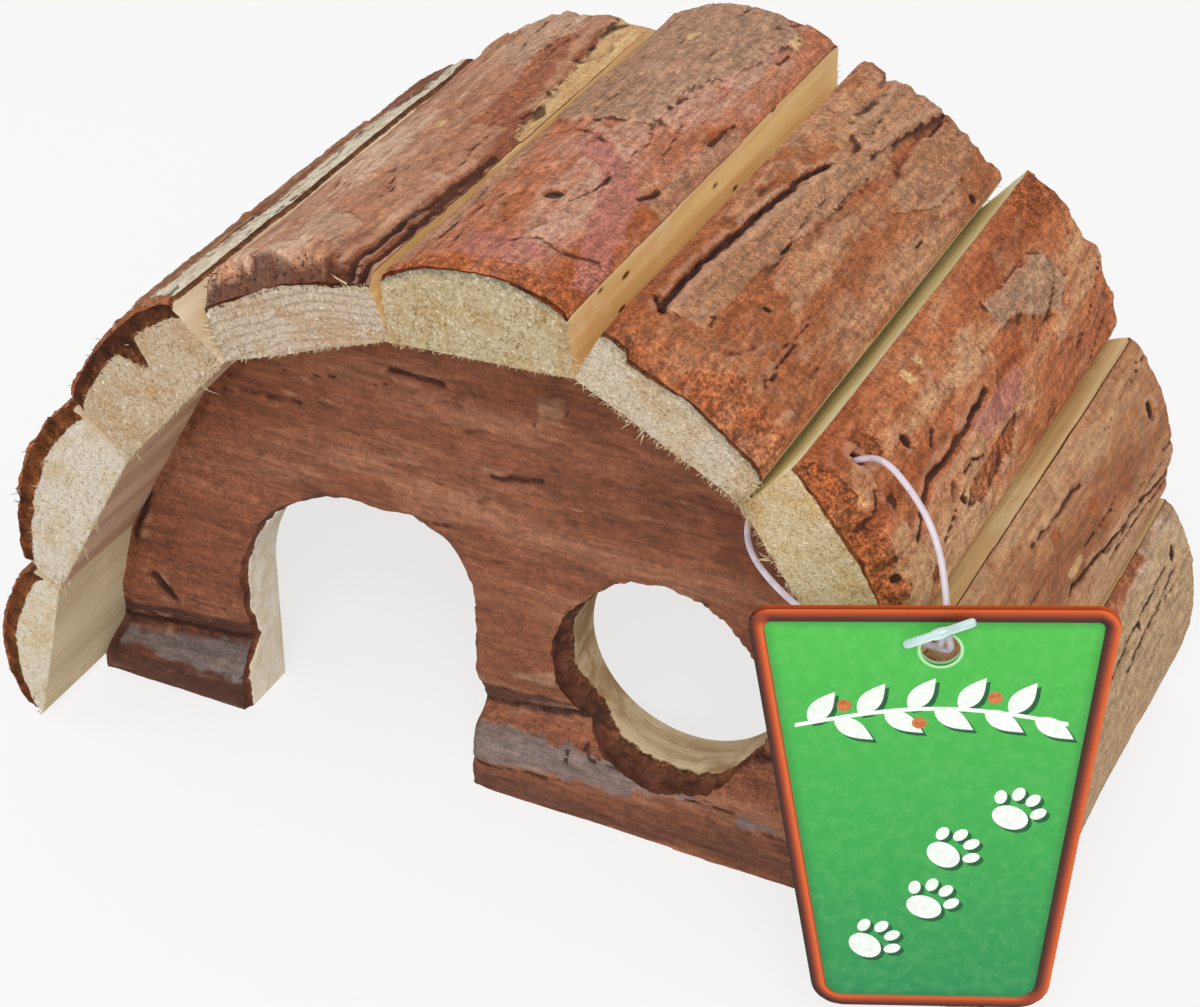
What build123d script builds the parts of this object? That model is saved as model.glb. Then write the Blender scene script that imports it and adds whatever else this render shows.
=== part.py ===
from build123d import *
from dataclasses import dataclass
import math
import os

# Rodent house: bark slabs nailed over two arched boards, with a hang tag on a nylon loop.
# Real size in millimetres, +Z up, the door faces -Y. The house stands on z = 0, and the origin
# is the middle of its footprint.

# House
slat_length = 81.5
foot_gap = 2.5
shoulder_height = 80.0

# Front board, with the natural swell and groove of its bark face
porch_depth = 17.0
front_board_thickness = 9.0
band_height = 8.5
band_swell = 1.6
groove_height = 13.0
groove_depth = 2.6
groove_top = 20.0
top_thinning = 1.4
relief_radius = 2.0

# Rear board
rear_board_inset = 2.5
rear_board_thickness = 7.5

# Door, open to the floor
door_left = -44.8
door_width = 36.7
door_height = 40.6
door_left_corner_radius = 20.0
door_right_corner_radius = 11.0

# Round window beside the door
window_x = 20.9
window_z = 26.6
window_radius = 15.0

# Nails, one through each slat into each board
nail_radius = 0.6
nail_head_radius = 1.3
nail_head_thickness = 0.5
nail_head_sink = 0.9
nail_bite = 9.0
nail_point_length = 1.8
nail_clearance = 0.05

# Hole for the loop, through slat 7 in front of the front board
loop_hole_radius = 0.9
loop_hole_from_side = 1.9
loop_hole_from_end = 8.2

# Hang tag, hanging plumb and turned towards the right
tag_hole_place = (65.4, -47.8, 64.0)
tag_turn = 21.4
tag_lean = 3.3
tag_thickness = 0.8
tag_top_width = 41.9
tag_bottom_width = 28.1
tag_height = 60.2
tag_top_corner_radius = 2.6
tag_bottom_corner_radius = 4.2
tag_hole_radius = 2.1
tag_hole_drop = 5.7
tag_hole_off_centre = 0.8

# Toggle bar in front of the tag's hole
bar_length = 8.6
bar_radius = 0.75
bar_end_radius = 0.5
bar_rise = 26.0
bar_off_hole = -0.4
bar_above_hole = 2.3
bar_stand_off = 1.7

# Nylon loop, from the bar through the tag, over slat 7, down its hole and back to the bar
filament_diameter = 0.8
loop_route = [
    (66.1, -49.4, 66.5),
    (65.8, -46.6, 64.3),
    (64.6, -43.4, 64.3),
    (63.2, -40.8, 66.7),
    (61.6, -39.0, 70.2),
    (59.2, -37.1, 73.1),
    (56.1, -35.5, 75.4),
    (52.9, -33.9, 76.8),
    (50.0, -32.6, 76.1),
    (44.2, -32.5, 72.2),
    (38.5, -32.4, 68.2),
    (36.3, -34.0, 65.5),
    (36.7, -36.6, 63.0),
    (39.2, -39.3, 62.3),
    (41.6, -41.4, 62.9),
    (44.3, -43.8, 63.1),
    (47.1, -46.0, 62.9),
    (51.4, -47.5, 62.5),
    (55.9, -47.0, 62.2),
    (60.1, -45.7, 62.0),
    (62.8, -46.0, 62.8),
    (64.7, -47.5, 64.3),
    (65.2, -49.7, 66.1),
]


@dataclass
class Slat:
    """One bark-faced slab, measured from the side that comes first, clockwise round the arch."""

    name: str
    tilt: float
    width: float
    first_side: float
    crown: float
    crown_place: float
    last_side: float
    front_inset: float
    rear_inset: float
    first_lean: float = 0.0
    nail_place: float = 0.5


# Clockwise round the arch, seen from the door. The two foot slats run down to the foot gap.
slats = [
    Slat("slat_1", -76.0, 0.0, 3.6, 8.3, 0.45, 5.8, 0.0, 1.2),
    Slat("slat_2", -61.2, 29.4, 7.6, 12.9, 0.60, 11.4, 0.4, 0.8),
    Slat("slat_3", -49.1, 24.7, 11.4, 13.2, 0.50, 10.8, 0.0, 1.5),
    Slat("slat_4", -21.4, 26.0, 10.2, 12.5, 0.40, 8.9, 0.6, 0.5),
    Slat("slat_5", -3.9, 24.8, 9.4, 12.1, 0.50, 8.7, 0.0, 0.0),
    Slat("slat_6", 27.8, 24.6, 9.6, 11.1, 0.50, 8.9, 0.3, 0.2),
    Slat("slat_7", 56.0, 22.7, 9.9, 13.2, 0.65, 10.0, 0.0, 0.0, 2.6),
    Slat("slat_8", 66.0, 24.2, 12.0, 13.2, 0.40, 9.0, 0.5, 0.4, nail_place=0.36),
    Slat("slat_9", 75.0, 0.0, 9.0, 10.9, 0.45, 4.8, 0.8, 0.3, nail_place=0.20),
]
top_slat = 4
loop_slat = 6

# Main furrows of the bark faces: points (from the first side, back from the slat's front end),
# then the width and depth. Finer relief is left to the looks.
furrows = {
    "slat_1": [([(8.0, 8.0), (9.5, 38.0)], 2.0, 1.1), ([(15.5, 28.0), (14.0, 72.0)], 2.0, 1.1)],
    "slat_2": [
        ([(8.0, 6.0), (10.0, 36.0)], 2.0, 1.1),
        ([(20.5, 22.0), (19.0, 66.0)], 2.0, 1.1),
        ([(9.5, 48.0), (8.5, 77.0)], 2.0, 1.1),
    ],
    "slat_3": [([(7.5, 12.0), (8.5, 50.0)], 2.0, 1.1), ([(17.5, 32.0), (16.5, 71.0)], 2.0, 1.1)],
    "slat_4": [
        ([(22.6, 3.0), (23.2, 18.0), (23.8, 34.0)], 1.8, 1.1),
        ([(7.5, 16.0), (9.0, 56.0)], 1.8, 1.0),
        ([(17.0, 50.0), (16.0, 74.0)], 1.8, 1.0),
    ],
    "slat_5": [
        ([(15.4, 43.5), (16.5, 56.0), (20.0, 71.0)], 1.8, 1.0),
        ([(6.5, 5.0), (6.0, 36.0)], 1.8, 1.0),
        ([(19.0, 12.0), (19.8, 34.0)], 1.8, 0.9),
    ],
    "slat_6": [
        ([(3.3, 7.1), (3.1, 18.6), (4.3, 33.7), (5.0, 44.8), (6.6, 51.2), (9.0, 71.8)], 1.8, 1.2),
        ([(14.2, 54.0), (13.6, 66.0), (16.0, 74.0)], 1.8, 0.9),
        ([(18.5, 10.0), (17.0, 42.0)], 1.8, 1.0),
    ],
    "slat_7": [
        ([(8.8, 44.0), (9.2, 36.8), (9.8, 26.5)], 1.8, 1.0),
        ([(17.2, 22.0), (18.6, 30.0), (16.0, 43.0)], 2.6, 1.0),
        ([(7.2, 52.0), (11.3, 62.6), (9.5, 71.0)], 1.8, 0.9),
    ],
    "slat_8": [
        ([(20.4, 78.5), (17.5, 60.9), (15.0, 46.4), (14.0, 36.0)], 1.6, 1.0),
        ([(8.0, 6.0), (7.0, 18.0)], 1.6, 0.9),
        ([(16.5, 8.0), (18.5, 32.0)], 1.6, 0.9),
        ([(6.5, 30.0), (7.0, 62.0)], 1.6, 0.9),
    ],
    "slat_9": [
        ([(6.0, 67.0), (6.2, 58.7), (7.0, 45.0)], 1.6, 0.8),
        ([(15.5, 16.0), (13.5, 60.0)], 1.6, 0.8),
        ([(21.5, 36.0), (22.0, 72.0)], 1.6, 0.8),
    ],
}


def across(tilt):
    """Clockwise direction across a slat's inner face, as (x, z)."""
    return math.cos(math.radians(tilt)), -math.sin(math.radians(tilt))


def outward(tilt):
    """Outward normal of a slat's inner face, as (x, z)."""
    return math.sin(math.radians(tilt)), math.cos(math.radians(tilt))


def step(corner, tilt, distance):
    """Corner reached from another by going clockwise across a face."""
    step_x, step_z = across(tilt)
    return corner[0] + distance * step_x, corner[1] + distance * step_z


def inner_corners():
    """Inner corners of the slats from foot to foot, starting at the top slat's first side."""
    corners = [(0.0, shoulder_height)]
    for slat in slats[top_slat:-1]:
        corners.append(step(corners[-1], slat.tilt, slat.width))
    for slat in reversed(slats[1:top_slat]):
        corners.insert(0, step(corners[0], slat.tilt, -slat.width))
    left_foot, right_foot = slats[0], slats[-1]
    left_foot.width = (corners[0][1] - foot_gap) / across(left_foot.tilt)[1]
    right_foot.width = (corners[-1][1] - foot_gap) / -across(right_foot.tilt)[1]
    corners.append(step(corners[-1], right_foot.tilt, right_foot.width))
    corners.insert(0, step(corners[0], left_foot.tilt, -left_foot.width))
    return corners


def section_plane(slat, corner, y):
    """Plane square to the slats, x across the inner face and y outward."""
    step_x, step_z = across(slat.tilt)
    return Plane(origin=(corner[0], y, corner[1]), x_dir=(step_x, 0, step_z), z_dir=(0, -1, 0))


def slat_section(slat, plane):
    """Sawn flat inside, sawn sides, and a rounded bark face outside."""
    crown_x = slat.crown_place * slat.width
    with BuildSketch(plane) as section:
        with BuildLine():
            Polyline(
                (-slat.first_lean, slat.first_side),
                (0, 0),
                (slat.width, 0),
                (slat.width, slat.last_side),
            )
            ThreePointArc(
                (slat.width, slat.last_side),
                (crown_x, slat.crown),
                (-slat.first_lean, slat.first_side),
            )
        make_face()
    return section.sketch


def bark_height(slat, place):
    """Height of the bark face above the inner face, at a distance from the first side."""
    ax, ay = -slat.first_lean, slat.first_side
    bx, by = slat.crown_place * slat.width, slat.crown
    cx, cy = slat.width, slat.last_side
    twist = 2 * (ax * (by - cy) + bx * (cy - ay) + cx * (ay - by))
    a2, b2, c2 = ax * ax + ay * ay, bx * bx + by * by, cx * cx + cy * cy
    centre_x = (a2 * (by - cy) + b2 * (cy - ay) + c2 * (ay - by)) / twist
    centre_y = (a2 * (cx - bx) + b2 * (ax - cx) + c2 * (bx - ax)) / twist
    radius = math.hypot(ax - centre_x, ay - centre_y)
    return centre_y + math.sqrt(radius**2 - (place - centre_x) ** 2)


def furrow_cutter(slat, corner, start, end, width, depth):
    """Prism along one run of a furrow, with its edge down in the bark and its flat top above it."""
    out_x, out_z = outward(slat.tilt)
    ends = []
    for place, back in (start, end):
        x, z = step(corner, slat.tilt, place)
        height = bark_height(slat, place)
        ends.append(
            Vector(x + height * out_x, front_y + slat.front_inset + back, z + height * out_z)
        )
    run = ends[1] - ends[0]
    plane = Plane(origin=ends[0], x_dir=Vector(out_x, 0, out_z).cross(run), z_dir=run)
    with BuildPart() as cutter:
        with BuildSketch(plane):
            with BuildLine():
                Polyline((0, -depth), (width, depth), (-width, depth), close=True)
            make_face()
        extrude(amount=run.length)
    return cutter.part


def nail_from_side(slat):
    """Distance of a slat's nails from its first side."""
    return slat.nail_place * slat.width


def face_plane(slat, corner, place, y):
    """Plane on a slat's inner face, z outward, x back along the slat."""
    x, z = step(corner, slat.tilt, place)
    out_x, out_z = outward(slat.tilt)
    return Plane(origin=(x, y, z), x_dir=(0, 1, 0), z_dir=(out_x, 0, out_z))


# Middle of the footprint, from the widest points of the slats
raw_corners = inner_corners()
raw_sections = [
    slat_section(slat, section_plane(slat, corner, 0))
    for slat, corner in zip(slats, raw_corners)
]
leftmost = min(section.bounding_box().min.X for section in raw_sections)
rightmost = max(section.bounding_box().max.X for section in raw_sections)
middle = (leftmost + rightmost) / 2
corners = [(x - middle, z) for x, z in raw_corners]

front_y = -slat_length / 2
rear_y = slat_length / 2
front_board_y = front_y + porch_depth
front_board_back_y = front_board_y + front_board_thickness
rear_board_back_y = rear_y - rear_board_inset
rear_board_y = rear_board_back_y - rear_board_thickness
front_nail_y = (front_board_y + front_board_back_y) / 2
rear_nail_y = (rear_board_y + rear_board_back_y) / 2
nail_rows = {"front_nails": front_nail_y, "rear_nails": rear_nail_y}

arch_left = corners[0][0]
arch_right = corners[-1][0]
arch_width = arch_right - arch_left
arch_top = max(z for x, z in corners)
arch_outline = [(arch_left, 0), *corners, (arch_right, 0)]

nail_top = {
    slat.name: bark_height(slat, nail_from_side(slat)) - nail_head_sink for slat in slats
}

os.makedirs("parts", exist_ok=True)

# Slats, each with two nail holes and the recesses of their heads
for index, (slat, corner) in enumerate(zip(slats, corners)):
    length = slat_length - slat.front_inset - slat.rear_inset
    head_seat = nail_top[slat.name] - nail_head_thickness
    with BuildPart() as slab:
        extrude(slat_section(slat, section_plane(slat, corner, rear_y - slat.rear_inset)), length)
        for nail_y in nail_rows.values():
            nail_plane = face_plane(slat, corner, nail_from_side(slat), nail_y)
            with BuildSketch(nail_plane):
                Circle(nail_radius + nail_clearance)
            extrude(amount=slat.crown, mode=Mode.SUBTRACT)
            with BuildSketch(nail_plane.offset(head_seat)):
                Circle(nail_head_radius + nail_clearance)
            extrude(amount=slat.crown, mode=Mode.SUBTRACT)
        for line, furrow_width, furrow_depth in furrows[slat.name]:
            for start, end in zip(line, line[1:]):
                cutter = furrow_cutter(slat, corner, start, end, furrow_width, furrow_depth)
                add(cutter, mode=Mode.SUBTRACT)
        if index == loop_slat:
            hole_y = front_y + slat.front_inset + loop_hole_from_end
            with BuildSketch(face_plane(slat, corner, loop_hole_from_side, hole_y)):
                Circle(loop_hole_radius)
            extrude(amount=slat.crown, mode=Mode.SUBTRACT)
    slab.part.label = slat.name
    export_step(slab.part, f"parts/{slat.name}.step")

# Front board: arched outline, door and window, and the relief of its bark face
with BuildPart() as front_board:
    with BuildSketch(Plane.XZ.offset(-front_board_back_y)):
        with BuildLine():
            Polyline(*arch_outline, close=True)
        make_face()
        with Locations((window_x, window_z)):
            Circle(window_radius, mode=Mode.SUBTRACT)
        with BuildSketch(mode=Mode.SUBTRACT) as door:
            with Locations((door_left + door_width / 2, 0)):
                Rectangle(door_width, 2 * door_height)
            door_top = door.vertices().group_by(Axis.Y)[-1].sort_by(Axis.X)
            fillet(door_top[0], door_left_corner_radius)
            fillet(door.vertices().group_by(Axis.Y)[-1].sort_by(Axis.X)[-1], door_right_corner_radius)
    extrude(amount=front_board_thickness + band_swell)
    with BuildSketch(Plane.YZ.offset((arch_left + arch_right) / 2)):
        with BuildLine():
            relief = FilletPolyline(
                (front_board_y - band_swell, 0),
                (front_board_y - band_swell, band_height),
                (front_board_y + groove_depth, groove_height),
                (front_board_y, groove_top),
                (front_board_y + top_thinning, arch_top),
                radius=relief_radius,
            )
            Polyline(
                relief @ 1,
                (front_board_back_y, arch_top),
                (front_board_back_y, 0),
                relief @ 0,
            )
        make_face()
    extrude(amount=arch_width, both=True, mode=Mode.INTERSECT)
    for slat, corner in zip(slats, corners):
        with BuildSketch(face_plane(slat, corner, nail_from_side(slat), front_nail_y)):
            Circle(nail_radius + nail_clearance)
        extrude(amount=-nail_bite - nail_clearance, mode=Mode.SUBTRACT)
front_board.part.label = "front_board"
export_step(front_board.part, "parts/front_board.step")

# Rear board: the same arch, with no openings
with BuildPart() as rear_board:
    with BuildSketch(Plane.XZ.offset(-rear_board_back_y)):
        with BuildLine():
            Polyline(*arch_outline, close=True)
        make_face()
    extrude(amount=rear_board_thickness)
    for slat, corner in zip(slats, corners):
        with BuildSketch(face_plane(slat, corner, nail_from_side(slat), rear_nail_y)):
            Circle(nail_radius + nail_clearance)
        extrude(amount=-nail_bite - nail_clearance, mode=Mode.SUBTRACT)
rear_board.part.label = "rear_board"
export_step(rear_board.part, "parts/rear_board.step")

# Nails: a pointed shank and a flat head sunk into the bark
for row_name, nail_y in nail_rows.items():
    with BuildPart() as nail_row:
        for slat, corner in zip(slats, corners):
            head_top = nail_top[slat.name]
            head_seat = head_top - nail_head_thickness
            nail_plane = face_plane(slat, corner, nail_from_side(slat), nail_y)
            profile_plane = Plane(
                origin=nail_plane.origin, x_dir=nail_plane.x_dir, z_dir=-nail_plane.y_dir
            )
            with BuildSketch(profile_plane):
                with BuildLine():
                    Polyline(
                        (0, -nail_bite),
                        (nail_radius, nail_point_length - nail_bite),
                        (nail_radius, head_seat),
                        (nail_head_radius, head_seat),
                        (nail_head_radius, head_top),
                        (0, head_top),
                        close=True,
                    )
                make_face()
            revolve(axis=Axis(nail_plane.origin, nail_plane.z_dir))
    nail_row.part.label = row_name
    export_step(nail_row.part, f"parts/{row_name}.step")

# Hang tag: a tapered card with round corners and a punched hole
turn = math.radians(tag_turn)
tag_plane = Plane(
    origin=tag_hole_place,
    x_dir=(math.cos(turn), math.sin(turn), 0),
    z_dir=(math.sin(turn), -math.cos(turn), 0),
)
lean = math.radians(tag_lean)
card_plane = Plane(
    origin=tag_plane.origin,
    x_dir=tag_plane.x_dir * math.cos(lean) + tag_plane.y_dir * math.sin(lean),
    z_dir=tag_plane.z_dir,
)
card_top = tag_hole_drop
card_bottom = tag_hole_drop - tag_height
with BuildPart() as hang_tag:
    with BuildSketch(card_plane.offset(-tag_thickness / 2)) as card:
        with BuildLine():
            Polyline(
                (-tag_hole_off_centre - tag_top_width / 2, card_top),
                (-tag_hole_off_centre - tag_bottom_width / 2, card_bottom),
                (-tag_hole_off_centre + tag_bottom_width / 2, card_bottom),
                (-tag_hole_off_centre + tag_top_width / 2, card_top),
                close=True,
            )
        make_face()
        fillet(card.vertices().group_by(Axis.Y)[-1], tag_top_corner_radius)
        fillet(card.vertices().group_by(Axis.Y)[0], tag_bottom_corner_radius)
        Circle(tag_hole_radius, mode=Mode.SUBTRACT)
    extrude(amount=tag_thickness)
hang_tag.part.label = "hang_tag"
export_step(hang_tag.part, "parts/hang_tag.step")

# Nylon loop: straight runs and arcs, each arc as large as its two runs allow
points = [Vector(*point) for point in loop_route]
radii = []
for before, here, after in zip(points, points[1:], points[2:]):
    half_turn = math.radians((here - before).get_angle(after - here)) / 2
    shorter_run = min((here - before).length, (after - here).length)
    radii.append(0.45 * shorter_run / math.tan(half_turn))
print("loop arc radii:", [round(radius, 1) for radius in radii])
with BuildPart() as tag_loop:
    with BuildLine() as route:
        FilletPolyline(*points, radius=radii)
    with BuildSketch(Plane(origin=points[0], z_dir=points[1] - points[0])) as round_section:
        Circle(filament_diameter / 2)
    sweep()
section_area = math.pi * filament_diameter**2 / 4
route_length = route.wire().length
print("loop length:", round(route_length, 1))
print("tube volume over section times length:", tag_loop.part.volume / section_area / route_length)
tag_loop.part.label = "tag_loop"
export_step(tag_loop.part, "parts/tag_loop.step")

# Toggle bar, moulded round the two ends of the loop
bar_centre = tag_plane.from_local_coords((bar_off_hole, bar_above_hole, bar_stand_off))
rise = math.radians(bar_rise)
bar_direction = tag_plane.x_dir * math.cos(rise) + tag_plane.y_dir * math.sin(rise)
with BuildPart() as tag_bar:
    with BuildSketch(Plane(origin=bar_centre, z_dir=bar_direction)):
        Circle(bar_radius)
    extrude(amount=bar_length / 2, both=True)
    fillet(tag_bar.edges().filter_by(GeomType.CIRCLE), bar_end_radius)
    add(tag_loop.part, mode=Mode.SUBTRACT)
tag_bar.part.label = "tag_bar"
export_step(tag_bar.part, "parts/tag_bar.step")

widths = {slat.name: round(slat.width, 1) for slat in slats}
print("slat widths:", widths)
print("inner corners:", [(round(x, 1), round(z, 1)) for x, z in corners])
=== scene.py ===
"""Looks of a small rodent house: bark slabs nailed over two arched boards, with a hang tag.

Shapes are worked out in millimetres in the part's own frame and given to Blender in metres.
"""

import logging
import math
from abc import ABC, abstractmethod
from collections.abc import Sequence
from dataclasses import dataclass
from enum import Enum

import bpy
import numpy as np
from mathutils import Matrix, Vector
from mathutils.geometry import delaunay_2d_cdt


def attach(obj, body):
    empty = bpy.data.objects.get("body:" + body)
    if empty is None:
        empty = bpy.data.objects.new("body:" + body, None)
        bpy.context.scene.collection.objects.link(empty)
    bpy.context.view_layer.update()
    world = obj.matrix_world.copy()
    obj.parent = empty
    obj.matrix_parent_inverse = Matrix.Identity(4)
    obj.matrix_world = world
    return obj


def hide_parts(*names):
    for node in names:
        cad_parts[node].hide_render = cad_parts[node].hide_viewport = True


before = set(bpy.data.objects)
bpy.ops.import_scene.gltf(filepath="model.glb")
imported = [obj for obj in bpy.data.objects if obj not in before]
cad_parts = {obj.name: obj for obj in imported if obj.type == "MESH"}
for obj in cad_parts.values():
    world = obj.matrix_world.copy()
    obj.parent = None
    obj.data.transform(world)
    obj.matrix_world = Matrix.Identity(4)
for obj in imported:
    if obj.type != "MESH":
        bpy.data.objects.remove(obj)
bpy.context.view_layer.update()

log = logging.getLogger("rodent_house")
MM = 0.001
Place = tuple[float, float]
Spot = tuple[float, float, float]
Colour = tuple[int, int, int]
Array = np.ndarray
Socket = bpy.types.NodeSocket
Material = bpy.types.Material
Thing = bpy.types.Object
BARK_GROUP = "bark_tone"
RIND_GROUP = "rind"
SOLID = 9.0  # A depth in millimetres that no bark reaches


def linear(colour: Colour, alpha: float = 1.0) -> tuple[float, float, float, float]:
    """Turns an 8-bit display colour into a scene colour.

    Args:
        colour: Red, green and blue from 0 to 255.
        alpha: The fourth number.

    Returns:
        The linear colour with its alpha.
    """
    parts = [channel / 255 for channel in colour]
    light = [c / 12.92 if c <= 0.04045 else ((c + 0.055) / 1.055) ** 2.4 for c in parts]
    return light[0], light[1], light[2], alpha


def ease(value: Array, low: float, high: float) -> Array:
    """Smooth step from 0 at low to 1 at high."""
    share = np.clip((value - low) / (high - low), 0, 1)
    return share * share * (3 - 2 * share)


class Noise:
    """Repeatable smooth noise on arrays of flat coordinates."""

    def __init__(self, seed: int) -> None:
        """Keeps the seed."""
        self.seed = seed

    def corner(self, column: Array, row: Array, salt: int) -> Array:
        """Random value from -1 to 1 at whole-number places.

        Args:
            column: First whole coordinates.
            row: Second whole coordinates.
            salt: Picks one of many patterns.

        Returns:
            One value for each place.
        """
        mixed = column * 374761393 + row * 668265263 + (self.seed * 131 + salt) * 224682251
        mixed = mixed & 0xFFFFFFFF
        mixed = ((mixed ^ (mixed >> 13)) * 1274126177) & 0xFFFFFFFF
        mixed = mixed ^ (mixed >> 16)
        return mixed / 0x7FFFFFFF - 1.0

    def smooth(self, u: Array, v: Array, salt: int = 0) -> Array:
        """Smooth noise from -1 to 1 with features about one unit wide.

        Args:
            u: First coordinates.
            v: Second coordinates.
            salt: Picks one of many patterns.

        Returns:
            One value for each place.
        """
        column, row = np.floor(u).astype(np.int64), np.floor(v).astype(np.int64)
        fu, fv = u - column, v - row
        fu = fu**3 * (fu * (fu * 6 - 15) + 10)
        fv = fv**3 * (fv * (fv * 6 - 15) + 10)
        low = self.corner(column, row, salt) * (1 - fu) + self.corner(column + 1, row, salt) * fu
        high = self.corner(column, row + 1, salt) * (1 - fu)
        high += self.corner(column + 1, row + 1, salt) * fu
        return low * (1 - fv) + high * fv

    def fractal(self, u: Array, v: Array, octaves: int, salt: int = 0, gain: float = 0.5) -> Array:
        """Several sizes of smooth noise added up.

        Args:
            u: First coordinates.
            v: Second coordinates.
            octaves: Number of sizes, each about half the last.
            salt: Picks one of many patterns.
            gain: Weight of each size against the last.

        Returns:
            One value from about -1 to 1 for each place.
        """
        total = np.zeros(np.broadcast(u, v).shape)
        weight, most = 1.0, 0.0
        for octave in range(octaves):
            size = 2.03**octave
            turned_u = (0.8 * u - 0.6 * v) * size + 17.3 * octave
            turned_v = (0.6 * u + 0.8 * v) * size - 9.1 * octave
            if octave == 0:
                turned_u, turned_v = u, v
            total = total + weight * self.smooth(turned_u, turned_v, salt + octave)
            most += weight
            weight *= gain
        return total / most


def line_distance(u: Array, v: Array, line: Sequence[Place] | Array) -> Array:
    """Distance from each place to a line of straight runs.

    Args:
        u: First coordinates.
        v: Second coordinates.
        line: The line's points.

    Returns:
        One distance for each place.
    """
    nearest = np.full(u.shape, 1e9)
    for (u0, v0), (u1, v1) in zip(line, line[1:]):
        du, dv = u1 - u0, v1 - v0
        share = np.clip(((u - u0) * du + (v - v0) * dv) / (du * du + dv * dv + 1e-12), 0, 1)
        nearest = np.minimum(nearest, np.hypot(u - u0 - share * du, v - v0 - share * dv))
    return nearest


def inside_distance(u: Array, v: Array, outline: Sequence[Place] | Array) -> Array:
    """Distance from a closed outline, above 0 inside it and below 0 outside.

    Args:
        u: First coordinates.
        v: Second coordinates.
        outline: The outline's corners.

    Returns:
        One signed distance for each place.
    """
    closed = (*outline, outline[0])
    inside = np.zeros(u.shape, bool)
    for (u0, v0), (u1, v1) in zip(closed, closed[1:]):
        crosses = (v0 > v) != (v1 > v)
        if v1 != v0:
            inside ^= crosses & (u < (u1 - u0) * (v - v0) / (v1 - v0) + u0)
    return np.where(inside, 1, -1) * line_distance(u, v, closed)


class Tint(Enum):
    """Kinds of bark colour, each kept on the mesh as a value of that name."""

    ROSE = "rose"
    PALE = "pale"
    # On the front board this tint is a dark brown, painted as shade on the left leg and in the groove; on
    # the slabs it is grey bark
    ASHEN = "ashen"
    RUST = "rust"


@dataclass(frozen=True)
class Patch:
    """An area of bark with its own colour, and a step up or down at its edge."""

    tint: Tint
    outline: tuple[Place, ...]
    strength: float = 1.0
    lift: float = 0.0
    ragged: float = 0.7
    soft: float = 0.5


@dataclass(frozen=True)
class Crack:
    """A crack along a line, as wide and deep as it says, or a ridge where the depth is negative."""

    line: tuple[Place, ...]
    width: float = 0.4
    depth: float = 0.7


@dataclass(frozen=True)
class Pit:
    """A small round hole, as over a nail's head."""

    place: Place
    radius: float = 1.0
    depth: float = 0.7


Mark = Patch | Crack | Pit


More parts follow.
